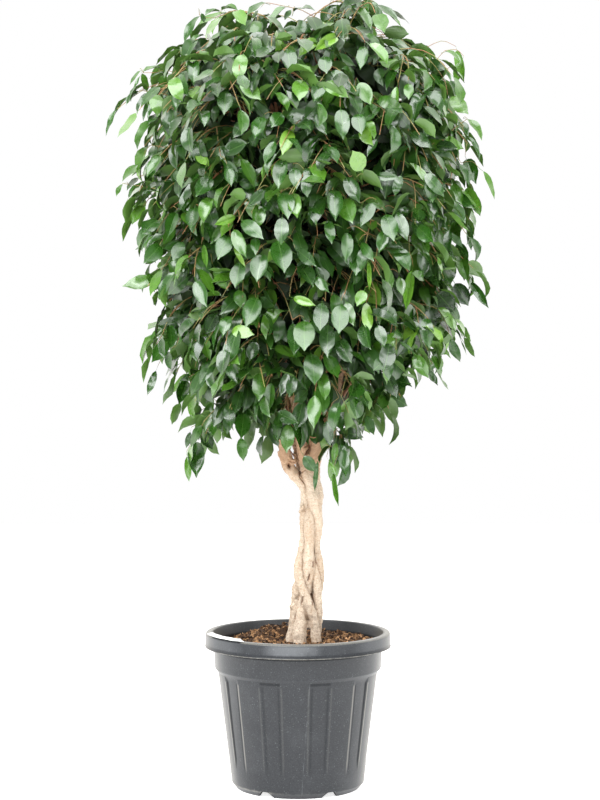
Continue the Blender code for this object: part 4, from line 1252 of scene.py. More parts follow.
markPlan = {  # leaves, gaps, arches and sprigs are read in the photo's pixels
    "focal": 1962, "away": 4.75, "spot": (300, 347), "place": (0.005, 1.066),
    "seed": 4, "spread": 0.97, "middle": 0.015, "turn": 12, "bend": 24,
    "margin": 0.005, "gapShare": 1.05, "darkDeeper": 0.05,
    "leaves": (
        (211, 177, 199, 201, 16, 0.40, -60), (195, 208, 194, 233, 14, 0.45, -60),
        (229, 236, 219, 261, 17, 0.50, -58), (242, 221, 262, 241, 15, 0.50, -55),
        (234, 230, 248, 258, 13, 0.60, -72), (256, 238, 257, 257, 10, 0.45, -60),
        (262, 254, 259, 284, 18, 0.45, -70), (278, 241, 281, 275, 22, 0.45, -60),
        (284, 193, 286, 221, 17, 0.50, -60), (294, 194, 299, 220, 14, 0.72, -66),
        (334, 191, 334, 223, 16, 0.35, -58), (328, 220, 329, 247, 11, 0.50, -62),
        (283, 160, 281, 191, 15, 0.50, -60), (294, 168, 296, 191, 13, 0.45, -68),
        (297, 250, 320, 268, 12, 0.25, -62), (240, 263, 238, 290, 16, 0.45, -68),
        (239, 290, 240, 308, 13, 0.55, -75), (257, 298, 247, 330, 18, 0.50, -60),
        (234, 247, 246, 268, 5, 0.95, -85), (228, 168, 230, 190, 11, 0.45, -65),
        (265, 190, 248, 208, 10, 0.20, -75), (304, 321, 305, 352, 22, 0.55, -60),
        (322, 303, 321, 333, 16, 0.30, -66), (328, 325, 330, 358, 16, 0.25, -66),
        (216, 314, 206, 334, 15, 0.15, -86), (294, 298, 316, 306, 9, 0.85, -70),
        (235, 217, 215, 226, 9, 0.85, -70), (204, 245, 208, 269, 6, 0.70, -86),
        (176, 213, 171, 240, 12, 0.45, -58), (183, 242, 174, 262, 13, 0.50, -66),
        (362, 171, 350, 152, 18, 0.85, -60), (346, 178, 359, 204, 15, 0.20, -74),
        (344, 199, 355, 225, 18, 0.62, -60), (374, 203, 361, 228, 12, 0.35, -62),
        (386, 215, 392, 244, 17, 0.50, -58), (385, 230, 379, 254, 12, 0.50, -80),
        (397, 213, 407, 242, 13, 0.35, -70), (419, 210, 417, 224, 13, 0.30, -62),
        (414, 221, 424, 243, 14, 0.20, -72), (347, 233, 343, 262, 13, 0.50, -68),
        (361, 243, 375, 263, 10, 0.45, -60), (368, 262, 369, 291, 5, 0.92, -86),
        (386, 267, 391, 289, 9, 0.62, -78), (399, 277, 401, 297, 10, 0.62, -76),
        (412, 271, 406, 311, 10, 0.80, -82), (412, 157, 433, 175, 13, 0.10, -64),
        (373, 177, 398, 179, 9, 0.30, -62), (449, 230, 447, 258, 9, 0.35, -62),
        (460, 255, 469, 283, 12, 0.62, -60), (471, 283, 489, 311, 9, 0.40, -66),
        (473, 195, 480, 217, 10, 0.70, -80), (466, 160, 475, 187, 14, 0.50, -64),
        (452, 184, 463, 207, 11, 0.60, -78), (469, 225, 471, 251, 7, 0.35, -86),
        (457, 243, 469, 263, 11, 0.25, -64), (364, 291, 356, 307, 12, 0.80, -72),
        (366, 303, 366, 334, 12, 0.92, -78), (341, 305, 338, 335, 18, 0.52, -64),
        (346, 302, 354, 327, 11, 0.60, -74), (382, 305, 397, 327, 12, 0.40, -74),
        (437, 293, 455, 313, 20, 0.02, -86), (455, 284, 468, 306, 16, 0.02, -86),
        (428, 310, 432, 331, 12, 0.05, -84), (203, 373, 195, 389, 15, 0.40, -58),
        (187, 381, 181, 407, 13, 0.50, -62), (256, 342, 250, 361, 13, 0.15, -82),
        (259, 373, 256, 403, 14, 0.58, -62), (271, 383, 270, 411, 11, 0.55, -86),
        (228, 403, 231, 429, 12, 0.35, -86), (241, 391, 235, 415, 13, 0.25, -64),
        (244, 414, 240, 440, 16, 0.45, -60), (241, 438, 243, 461, 11, 0.55, -74),
        (211, 403, 206, 433, 12, 0.60, -80), (199, 416, 197, 441, 8, 0.25, -66),
        (202, 431, 212, 450, 13, 0.08, -86), (196, 442, 196, 478, 17, 0.40, -64),
        (187, 457, 189, 482, 7, 0.70, -86), (190, 432, 186, 448, 6, 0.30, -86),
        (303, 402, 295, 431, 16, 0.28, -86), (320, 385, 320, 415, 17, 0.55, -60),
        (328, 386, 331, 414, 12, 0.20, -66), (311, 354, 312, 385, 20, 0.50, -66),
        (288, 373, 282, 397, 10, 0.12, -78), (294, 376, 291, 399, 11, 0.22, -66),
        (304, 456, 315, 472, 12, 0.35, -84), (327, 421, 331, 447, 11, 0.20, -86),
        (336, 443, 333, 463, 7, 0.70, -84), (341, 444, 344, 478, 11, 0.45, -80),
        (328.9, 461.4, 338.8, 476.3, 5, 0.75, -84), (333.9, 473.4, 339.7, 506.4, 5.8, 0.70, -86),
        (317.8, 461.4, 314.9, 492.4, 5, 0.40, -86), (287, 50, 289, 77, 16, 0.40, -60),
        (324, 57, 326, 77, 14, 0.40, -58), (364, 48, 361, 75, 12, 0.50, -66),
        (322, 83, 314, 106, 14, 0.40, -60), (359, 84, 370, 107, 15, 0.62, -82),
        (450, 98, 467, 117, 14, 0.80, -64), (263, 118, 258, 143, 14, 0.45, -60),
        (282, 114, 271, 130, 14, 0.45, -62), (226, 93, 224, 119, 16, 0.40, -60),
        (357, 115, 362, 138, 15, 0.45, -60), (411, 134, 430, 150, 13, 0.25, -62),
        (436, 146, 456, 150, 11, 0.10, -64), (456, 52, 464, 85, 9, 0.80, -80),
        (156, 371, 148, 396, 8, 0.50, -80),
    ),
    "gaps": (
        (228, 196, 9, 9, -0.15), (276, 222, 9, 7, -0.15), (318, 238, 16, 14, -0.15),
        (283, 290, 20, 14, -0.15), (286, 318, 12, 12, -0.15), (336, 292, 9, 14, -0.15),
        (388, 268, 10, 9, -0.15), (382, 290, 14, 8, -0.15), (348, 282, 10, 12, -0.15),
        (410, 192, 9, 8, -0.15), (332, 178, 7, 9, -0.15), (293, 412.3, 16.5, 19, 0.03),
        (344.2, 397, 11, 22.7, 0.02), (262, 350, 8, 6, -0.15), (222, 300, 9, 9, -0.15),
        (196, 262, 9, 13, -0.15), (188, 320, 9, 8, -0.15), (250, 215, 6, 6, -0.15),
    ),
    "arches": (
        (200, 17, 185, 45, 8, 0.45, 80), (202, 15, 204, 24, 5, 0.40, 30),
        (220, 13, 206, 17, 6, 0.55, 40), (222, 11, 238, 14, 6, 0.62, 60),
        (226, 14, 228, 23, 7, 0.40, 20), (231, 15, 245, 18, 3, 0.30, 10),
        (267, 4, 248, 20, 8, 0.48, 70), (285, 9, 269, 29, 8, 0.62, 30), (291, 11, 285, 22, 6, 0.50, 50),
        (293, 13, 314, 15, 7, 0.38, 80), (258, 18, 262, 35, 14, 0.42, 20),
        (252, 21, 240, 39, 9, 0.42, 30), (204, 36, 190, 47, 4, 0.60, 50),
        (258, 12, 252, 21, 4, 0.60, 20), (328, 8, 325, 27, 10, 0.38, 20),
        (336, 8, 333, 26, 9, 0.15, 20), (357, 6, 346, 21, 10, 0.40, 20),
        (350, 20, 352, 38, 10, 0.30, 20), (367, 3, 366, 22, 9, 0.58, 20),
        (371, 3, 380, 26, 7, 0.42, 70), (364, 20, 371, 38, 8, 0.12, 20),
        (389, 40, 411, 54, 9, 0.48, 30), (444, 52, 460, 65, 6, 0.62, 70),
        (461, 63, 456, 84, 9, 0.74, 10), (436, 67, 451, 82, 5, 0.52, 60),
        (432, 74, 443, 88, 11, 0.42, 20), (450, 82, 455, 97, 9, 0.36, 20),
        (467, 120, 482, 140, 8, 0.68, 50), (456, 122, 467, 138, 10, 0.40, 20),
        (468, 137, 481, 162, 5, 0.45, 40), (483, 171, 485, 201, 6, 0.70, 60),
        (141, 71, 131, 86, 4, 0.58, 60), (162, 68, 145, 76, 6, 0.62, 60),
        (143, 75, 144, 94, 7, 0.66, 20), (165, 73, 151, 81, 4, 0.50, 50),
        (162, 77, 164, 91, 11, 0.60, 20), (141, 77, 134, 92, 3, 0.55, 20),
        (139, 92, 127, 107, 8, 0.40, 20), (117, 110, 110, 137, 5, 0.50, 60),
        (149, 94, 137, 114, 5, 0.36, 60), (153, 99, 145, 122, 6, 0.42, 60),
        (161, 100, 147, 120, 7, 0.40, 30), (160, 114, 148, 126, 8, 0.45, 20),
        (153, 122, 136, 149, 9, 0.60, 40), (176, 113, 160, 139, 8, 0.56, 80),
        (149, 147, 143, 175, 10, 0.70, 60), (138, 165, 124, 183, 9, 0.62, 40),
        (139, 178, 127, 190, 7, 0.40, 20), (123, 184, 116, 196, 5, 0.60, 60),
    ),
    "sprigs": (
        ((245, 52), (231, 31), (222, 22), (221, 13)),
        ((240, 45), (222, 22), (208, 20), (200, 17)),
        ((300, 58), (286, 38), (273, 24), (262, 17)),
        ((335, 32), (313, 18), (302, 12), (290, 9), (270, 5)),
        ((205, 95), (185, 76), (165, 71), (155, 74), (144, 74)),
        ((195, 112), (175, 98), (150, 92), (139, 93), (128, 102), (118, 110)),
        ((215, 118), (180, 112), (160, 102), (151, 98)),
        ((215, 150), (190, 118), (176, 113), (160, 113)),
        ((200, 165), (170, 150), (160, 147), (150, 146)),
        ((185, 182), (163, 175), (150, 175), (139, 177)),
        ((190, 194), (168, 191), (145, 187), (123, 184)),
        ((420, 92), (432, 66), (444, 52)),
        ((425, 90), (440, 74), (450, 68)),
        ((440, 146), (452, 130), (467, 120)),
    ),
    "archTurn": 42, "archTilt": 16, "archWidth": 0.78, "archSteps": 12, "sprigDepth": -0.03,
    "front": -0.425, "sprigSteps": 16, "longest": 0.085,
}


def metres(pixels):  # a width as read, on the trunk's plane
    return round(pixels / (markPlan["focal"] / markPlan["away"]), 3)


def readSpot(across, down):  # a spot as read, as x and z on the trunk's plane
    scale = markPlan["focal"] / markPlan["away"]
    return (round(markPlan["place"][0] + (across - markPlan["spot"][0]) / scale, 3),
            round(markPlan["place"][1] - (down - markPlan["spot"][1]) / scale, 3))


def readStroke(row):  # a leaf's root and tip, width, tone, and fall or bow
    return *readSpot(*row[:2]), *readSpot(*row[2:4]), metres(row[4]), *row[5:]


def readGap(row):  # a gap's middle, half its width and height, and how far forward it stays open
    return *readSpot(*row[:2]), metres(row[2]), metres(row[3]), row[4]


def atDepth(x, z, y):  # what the camera sees at x and z on the trunk's plane, brought to a depth
    eye = Vector(roomPlan["camera"])
    return eye + (Vector((x, 0, z)) - eye) * ((y - eye.y) / -eye.y)


def markedLeaves(plan):  # poses with their tone, width and place as seen
    rng = random.Random(plan["seed"])
    levels = [row[0] for row in crownPlan["rows"]]
    distances = [row[1] for row in crownPlan["rows"]]
    marks = []
    for x0, z0, x1, z1, width, tone, fall in map(readStroke, plan["leaves"]):
        radius = plan["spread"] * float(np.interp((z0 + z1) / 2, levels, distances))
        x = (x0 + x1) / 2 - plan["middle"]
        y = -math.sqrt(max(0.0, radius * radius - x * x)) + rng.uniform(0, 0.015)
        y = max(y + plan["darkDeeper"] * max(0.0, 0.4 - tone), plan["front"])
        base = atDepth(x0, z0, y)
        tip = atDepth(x1, z1, y)
        tilt = math.degrees(math.atan2(tip.x - base.x, base.z - tip.z))
        azimuth = -90 + rng.uniform(-1, 1) * plan["turn"]
        blade = math.hypot(tip.x - base.x, tip.z - base.z) / math.sin(math.radians(-fall))
        rise = fall + plan["bend"]
        lean = Matrix.Rotation(math.radians(tilt), 3, heading(azimuth))
        root = base - lean @ heading(azimuth, rise) * leafPlan["petiole"]
        share = width * (y / -roomPlan["camera"][1] + 1) / (2 * bladePlan["halfWidth"] * blade)
        marks.append(((root, azimuth, tilt, rise, fall, blade), tone, share, (x0, z0, x1, z1, width / 2, y)))
    for x0, z0, x1, z1, width, tone, bow in map(readStroke, plan["arches"]):
        y = plan["sprigDepth"] + rng.uniform(-0.02, 0.01)
        pose = archPose(plan, atDepth(x0, z0, y), atDepth(x1, z1, y), bow)
        share = width / (2 * plan["archWidth"] * bladePlan["halfWidth"] * pose[5])
        marks.append((pose, tone, share, (x0, z0, x1, z1, width / 2, y)))
    return marks


def archPose(plan, base, tip, bow):  # a leaf that arches sideways and down between two places
    way = -1 if tip.x < base.x else 1
    azimuth = -90 + way * plan["archTurn"]
    tilt = way * plan["archTilt"]
    lean = Matrix.Rotation(math.radians(tilt), 3, heading(azimuth))
    span = Vector((way * (tip.x - base.x), tip.z - base.z))
    middle = math.degrees(math.atan2(span.y, span.x))
    blade = span.length
    stops = [0.0] + [along for along, _, _ in leafPlan["stations"]] + [1.0]
    bends = [leafPlan["petioleBend"]] + [bend for _, _, bend in leafPlan["stations"]] + [1.0]
    for _ in range(plan["archSteps"]):
        rise = middle + 0.78 * bow
        fall = middle - 0.22 * bow
        reach = Vector((0, 0, 0))
        for step in range(plan["archSteps"]):
            bend = float(np.interp((step + 0.5) / plan["archSteps"], stops, bends))
            reach += lean @ heading(azimuth, rise + (fall - rise) * bend) * (blade / plan["archSteps"])
        seen = Vector((way * reach.x, reach.z))
        blade *= span.length / seen.length
        middle += 0.7 * math.degrees(math.atan2(span.y, span.x) - math.atan2(seen.y, seen.x))
        middle = max(-88 + 0.22 * bow, middle)
        blade = min(blade, plan["longest"])
    root = base - lean @ heading(azimuth, rise) * leafPlan["petiole"]
    return root, azimuth, tilt, rise, fall, blade


def growSprigs(plan, sprays):  # thin twigs past the crown's outline, each from the nearest twig
    for places in plan["sprigs"]:
        spots = [atDepth(*readSpot(*spot), plan["sprigDepth"]) for spot in places]
        foot, home = min(((place, spray) for spray in sprays for place in spray["main"]),
                         key=lambda pair: (pair[0] - spots[0]).length)
        home["sides"].append(smoothRoute([foot] + spots, plan["sprigSteps"]))


class FrontView:  # tells whether a leaf would hide a marked leaf or close a dark gap
    def __init__(self, plan, marks):
        self.plan = plan
        seen = np.array([mark[3] for mark in marks])
        self.base = seen[:, :2]
        self.step = seen[:, 2:4] - seen[:, :2]
        self.reach = seen[:, 4] + plan["margin"]
        self.depth = seen[:, 5]
        self.gaps = np.array([readGap(gap) for gap in plan["gaps"]])

    def isOpen(self, place):
        if place.y > 0.05:
            return True
        spot = np.array(asSeen(place))
        along = np.sum((spot - self.base) * self.step, axis=1) / np.sum(self.step ** 2, axis=1)
        away = np.linalg.norm(spot - self.base - np.clip(along, 0, 1)[:, None] * self.step, axis=1)
        if np.any((away < self.reach) & (place.y < self.depth + 0.006)):
            return False
        away = np.sum(((spot - self.gaps[:, :2]) / self.gaps[:, 2:4]) ** 2, axis=1)
        return not np.any((away < self.plan["gapShare"] ** 2) & (place.y < self.gaps[:, 4]))

    def beforeFork(self, place):  # in front of the openings that show the limbs over the fork
        spot = np.array(asSeen(place))
        away = np.sum(((spot - self.gaps[:, :2]) / self.gaps[:, 2:4]) ** 2, axis=1)
        return bool(np.any((away < 1) & (self.gaps[:, 4] > 0) & (place.y < 0)))


def hangMarks(marks, sprays):  # joins every marked leaf to the nearest twig
    for pose, tone, share, _ in marks:
        root = pose[0]
        best = None
        for spray in sprays:
            for route in [spray["main"]] + spray["sides"]:
                for place in route[1:]:
                    climb = max(0.0, root.z - place.z)
                    cost = (place - root).length + 0.5 * climb + max(0.0, root.y - place.y)
                    if best is None or cost < best[0]:
                        best = (cost, place, spray)
        _, place, spray = best
        middle = place * 0.4 + root * 0.6 + Vector((0, 0, 0.2 * (place - root).length))
        spray["stalks"].append([place, middle, root])
        spray["marks"].append((pose, tone, share))


# More sprays and leaves between them, down into the crown and out to its outline.

fillPlan = {
    "seed": 11, "outer": 270, "inner": 140, "outerReach": (0.84, 1.08), "innerReach": (0.35, 0.78),
    "heart": 50, "heartReach": (0.15, 0.55), "heartPart": 0.3,
    "spacing": 0.0165, "blade": (0.056, 0.084), "moreMain": (0.12, 0.23, 0.45, 0.67, 0.89),
    "moreSide": (0.28, 0.8), "mainShares": (0.14, 0.26, 0.38, 0.50, 0.62, 0.74, 0.86, 1.0),
    "sideShares": (0.25, 0.5, 0.75, 1.0), "middle": 1.27, "sideTurn": (28, 85), "sideRise": (-25, 40),
    "levelShare": 0.24, "edgeShare": 0.27, "tries": 5,
    "sides": ((0.72, -0.02, 0.11), (0.768, -0.27, 0.12), (0.817, -0.27, 0.21), (0.865, -0.285, 0.27),
              (0.913, -0.290, 0.33), (0.962, -0.325, 0.42), (1.01, -0.36, 0.425), (1.06, -0.375, 0.445),
              (1.107, -0.39, 0.436), (1.156, -0.395, 0.463), (1.204, -0.395, 0.451), (1.252, -0.35, 0.436),
              (1.301, -0.42, 0.426), (1.349, -0.414, 0.429), (1.398, -0.41, 0.448), (1.446, -0.428, 0.446),
              (1.495, -0.397, 0.440), (1.543, -0.378, 0.428), (1.591, -0.358, 0.418), (1.64, -0.353, 0.396),
              (1.688, -0.363, 0.388), (1.737, -0.327, 0.352), (1.785, -0.276, 0.305), (1.834, -0.198, 0.186),
              (1.882, 0.052, 0.186), (1.905, 0.065, 0.180)),
    "bottoms": ((-0.46, 1.30), (-0.407, 1.29), (-0.375, 1.10), (-0.358, 0.97), (-0.310, 0.94), (-0.285, 0.83),
                (-0.261, 0.76), (-0.213, 0.82), (-0.164, 0.85), (-0.116, 0.80), (-0.068, 0.785),
                (-0.019, 0.80), (0.029, 0.80), (0.078, 0.77), (0.126, 0.78), (0.174, 0.88), (0.223, 0.875),
                (0.271, 0.98), (0.320, 0.925), (0.368, 0.967), (0.417, 0.99), (0.465, 1.16)),
    "tops": ((-0.46, 1.54), (-0.419, 1.664), (-0.370, 1.712), (-0.322, 1.722), (-0.286, 1.773),
             (-0.249, 1.783), (-0.208, 1.811), (-0.152, 1.827), (-0.104, 1.822), (-0.031, 1.817),
             (0.005, 1.832), (0.041, 1.846), (0.066, 1.874), (0.114, 1.876), (0.162, 1.886), (0.184, 1.862),
             (0.199, 1.800), (0.271, 1.778), (0.320, 1.764), (0.356, 1.715), (0.388, 1.680), (0.417, 1.615),
             (0.446, 1.525), (0.465, 1.422)),
}


class Spacing:  # keeps leaf middles apart
    def __init__(self, size):
        self.size = size
        self.cells = {}

    def key(self, place):
        return tuple(math.floor(value / self.size) for value in place)

    def takes(self, place):
        home = self.key(place)
        for dx in (-1, 0, 1):
            for dy in (-1, 0, 1):
                for dz in (-1, 0, 1):
                    for other in self.cells.get((home[0] + dx, home[1] + dy, home[2] + dz), ()):
                        if (other - place).length < self.size:
                            return False
        self.cells.setdefault(home, []).append(place)
        return True


def asSeen(place):  # where the front camera sees a place, on the plane through the trunk
    x, y, z = roomPlan["camera"]
    share = -y / (place.y - y)
    return x + (place.x - x) * share, z + (place.z - z) * share


def inOutline(place):
    x, z = asSeen(place)
    levels = [row[0] for row in fillPlan["sides"]]
    left = np.interp(z, levels, [row[1] for row in fillPlan["sides"]])
    right = np.interp(z, levels, [row[2] for row in fillPlan["sides"]])
    bottom = np.interp(x, *zip(*fillPlan["bottoms"]))
    top = np.interp(x, *zip(*fillPlan["tops"]))
    return left < x < right and bottom < z < top


def leafMiddle(pose, reach=0.5):
    root, azimuth, _, rise, fall, blade = pose
    return root + heading(azimuth, rise + (fall - rise) * 0.6) * (leafPlan["petiole"] + blade * reach)


def loosePose(rng, place, way, side, midFall):  # a leaf of the kind between the larger ones
    plan = fillPlan
    azimuth = math.degrees(math.atan2(way.y, way.x))
    elevation = math.degrees(math.asin(max(-1.0, min(1.0, way.z))))
    if side:
        azimuth += side * rng.uniform(*plan["sideTurn"])
        rise = elevation * leafPlan["twigRiseShare"] + rng.uniform(*plan["sideRise"])
    else:
        azimuth += rng.uniform(-1, 1) * leafPlan["endScatter"]
        rise = elevation
    fall = midFall + rng.gauss(0, 14)
    if rng.random() < plan["levelShare"]:
        fall = rng.uniform(-45, 0)
    tilt = rng.gauss(0, 20)
    if rng.random() < plan["edgeShare"]:
        tilt = rng.uniform(-80, 80)
    fall = max(-92, min(fall, rise - 10))
    return place, azimuth, tilt, rise, fall, rng.uniform(*plan["blade"])


def growMore(sprays, limbs, view):
    plan = fillPlan
    rng = random.Random(plan["seed"])
    spacing = Spacing(plan["spacing"])
    for spray in sprays:
        spray["leaves"] = [pose for pose in spray["leaves"] if not view.beforeFork(leafMiddle(pose))]
        for pose in spray["leaves"]:
            spacing.takes(leafMiddle(pose))

    def addLeaves(spray, route, shares, midFall, young):
        for count, share in enumerate(shares):
            side = 0 if share == 1.0 else (-1) ** count
            place, way = alongRoute(route, share)
            for attempt in range(plan["tries"]):
                pose = loosePose(rng, place, way, side, midFall)
                if young and share > 0.8:
                    pose = pose[:5] + (pose[5] * 0.85,)
                middle = leafMiddle(pose)
                tip = leafMiddle(pose, 0.85)
                clear = view.isOpen(middle) and view.isOpen(tip)
                if clear and inOutline(tip) and inOutline(middle) and spacing.takes(middle):
                    spray["leaves"].append(pose)
                    break

    def grow(name, route, azimuth, fall, length, turns, young, arm):
        spray = {"name": name, "arm": arm, "main": route, "sides": [], "fall": fall,
                 "azimuth": azimuth, "length": length, "leaves": [], "marks": [], "stalks": []}
        midFall = min(leafPlan["fall"], fall - leafPlan["fallPastTwig"])
        addLeaves(spray, route, plan["mainShares"], midFall, young)
        for share, turn in turns:
            start, way = alongRoute(route, share)
            rise = math.degrees(math.asin(way.z))
            extra = twigRoute(start, azimuth + turn, rise, fall, length * 0.42, 3, turn / 3)
            if inOutline(extra[-1]):
                spray["sides"].append(extra)
                addLeaves(spray, extra, plan["sideShares"], midFall, young)
        return spray

    for spray in sprays:
        midFall = min(leafPlan["fall"], spray["fall"] - leafPlan["fallPastTwig"])
        addLeaves(spray, spray["main"], plan["moreMain"], midFall, False)
        addLeaves(spray, spray["sides"][0], plan["moreSide"], midFall, False)
        start, way = alongRoute(spray["main"], 0.5)
        turn = -twigPlan["sideTurn"] if spray["name"][-1] in "02468" else twigPlan["sideTurn"]
        rise = math.degrees(math.asin(way.z))
        extra = twigRoute(start, spray["azimuth"] + turn, rise, spray["fall"],
                          spray["length"] * 0.4, 3, turn / 3)
        spray["sides"].append(extra)
        addLeaves(spray, extra, plan["sideShares"], midFall, True)

    for depth, count, reach, part in (("outer", plan["outer"], plan["outerReach"], 1.0),
                                      ("inner", plan["inner"], plan["innerReach"], 1.0),
                                      ("heart", plan["heart"], plan["heartReach"], plan["heartPart"])):
        for index in range(count):
            height, radius, offset, rise, fall, length = crownRow(part * (index + 0.5) / count)
            azimuth = (index * crownPlan["goldenAngle"] + rng.uniform(-12, 12) + 60) % 360
            scale = rng.uniform(*reach)
            squeeze = 1.0 if depth == "heart" else 0.45 + 0.55 * scale
            height = plan["middle"] + (height - plan["middle"]) * squeeze + rng.uniform(-0.03, 0.02)
            length *= rng.uniform(0.7, 1.1)
            sway = rng.uniform(-1, 1) * twigPlan["sway"] * 1.6
            rise += rng.uniform(-15, 15)
            trial = twigRoute(Vector((0, 0, 0)), azimuth, rise, fall, length, twigPlan["steps"], sway)
            end = heading(azimuth) * radius * scale + Vector((offset, 0, height))
            end.z += crownPlan["tilt"] * end.x
            start = end - trial[-1]
            if not inOutline(end) or (depth == "inner" and math.hypot(start.x, start.y) > 0.3):
                continue
            way = (trial[1] - trial[0]).normalized()
            route = [start + place for place in trial]
            turns = ((0.3, twigPlan["sideTurn"]), (0.55, -twigPlan["sideTurn"]))
            arm = armRoute(start, way, limbs)
            if arm:
                sprays.append(grow(depth, route, azimuth, fall, length, turns, depth == "outer", arm))
    return sprays


# One leaf is modelled and every leaf is a bent copy of it.

bladePlan = {
    "youngShare": 0.10, "youngTone": (0.70, 0.93), "lightest": 0.80, "toneSpread": 0.45,
    "rings": ((-1.0, 0.007), (-0.04, 0.009), (0.02, 0.055), (0.12, 0.168), (0.28, 0.246), (0.46, 0.272),
              (0.64, 0.247), (0.79, 0.165), (0.90, 0.060), (1.0, 0.004)),
    "halfWidth": 0.272, "thick": 0.0042, "fold": (0.18, 0.82), "wave": (0.010, 0.048),
    "width": (0.68, 1.0), "seed": 23, "curl": (-34, 50), "old": (0.0080, 0.031, 0.0040),
    "mid": (0.020, 0.082, 0.006), "fresh": (0.085, 0.215, 0.016), "young": (0.185, 0.35, 0.040),
    # deep is the colour of painted shade on leaves inside the crown
    "rib": (0.11, 0.24, 0.050), "under": (0.085, 0.180, 0.028), "deep": (0.0035, 0.012, 0.0018),
}


def leafLook(plan):
    look, shade, shader = newLook("leaf", {"Metallic": 0.0, "IOR": 1.5, "Specular IOR Level": 0.50,
                                           "Coat Roughness": 0.18})
    across = abs(shade.node("ShaderNodeTexCoord", {}, {}, 2).part(1) - 0.5)
    along = shade.node("ShaderNodeTexCoord", {}, {}, 2).part(0)
    tone = shade.value("tone")
    under = shade.value("under")
    place = shade.objectPlace()
    mottle = place.grain(60, 2.0, 0.55)
    rib = 1 - across.fade(0.004, 0.013)
    wave = shade.node("ShaderNodeMath", {"operation": "SINE"}, {0: (along * 1.0 - across * 0.75) * 100})
    veins = wave.fade(0.55, 1.0) * (1 - across.fade(0.18, 0.26)) * along.fade(0.02, 0.10)
    level = tone + (mottle - 0.5) * 0.18
    colour = level.ramp([(0.0, plan["old"]), (0.50, plan["mid"]),
                         (0.80, plan["fresh"]), (1.0, plan["young"])])
    colour = shade.mix(0.50 * rib + 0.07 * veins, colour, plan["rib"])
    colour = shade.mix(under * 0.75, colour, plan["under"])
    # leaves deep in the crown: painted shade, darker, rougher and without coat
    deep = shade.value("deep")
    colour = shade.mix(deep * 0.85, colour, plan["deep"])
    rough = 0.23 + 0.10 * mottle + 0.24 * under + 0.25 * deep
    bump = shade.bump(0.3 * veins - 0.8 * rib + 0.5 * mottle, 0.26, 0.0008)
    gloss = 1.0 * (1 - deep) * (1 - 0.6 * under)
    feed(shader, {"Base Color": colour, "Roughness": rough, "Coat Weight": gloss, "Normal": bump})
    return look


def leafTemplate(plan):  # a flat leaf along X, one unit long from 0, its stalk from -1 to 0
    allOff()
    bpy.ops.mesh.primitive_circle_add(vertices=4, radius=1.0, fill_type="NGON", rotation=(0, math.pi / 2, 0))
    leaf = named("leafTemplate")
    bpy.ops.object.transform_apply(location=True, rotation=True, scale=True)
    bpy.ops.object.mode_set(mode="EDIT")
    bpy.ops.mesh.select_mode(type="FACE")
    bpy.ops.mesh.select_all(action="SELECT")
    place, half = plan["rings"][0]
    bpy.ops.transform.translate(value=(place, 0, 0))
    bpy.ops.transform.resize(value=(1, half, half), center_override=(0, 0, 0))
    for nextPlace, nextHalf in plan["rings"][1:]:
        bpy.ops.mesh.extrude_region_move(TRANSFORM_OT_translate={"value": (nextPlace - place, 0, 0)})
        bpy.ops.transform.resize(value=(1, nextHalf / half, 1), center_override=(0, 0, 0))
        place, half = nextPlace, nextHalf
    bpy.ops.mesh.select_all(action="SELECT")
    bpy.ops.mesh.normals_make_consistent(inside=False)
    bpy.ops.object.mode_set(mode="OBJECT")
    for vertex in leaf.data.vertices:
        if vertex.co.x > 0:
            vertex.co.z *= plan["thick"] / 2 / plan["rings"][0][1] * (1 if vertex.co.x < 0.9 else 0.5)
    return leaf


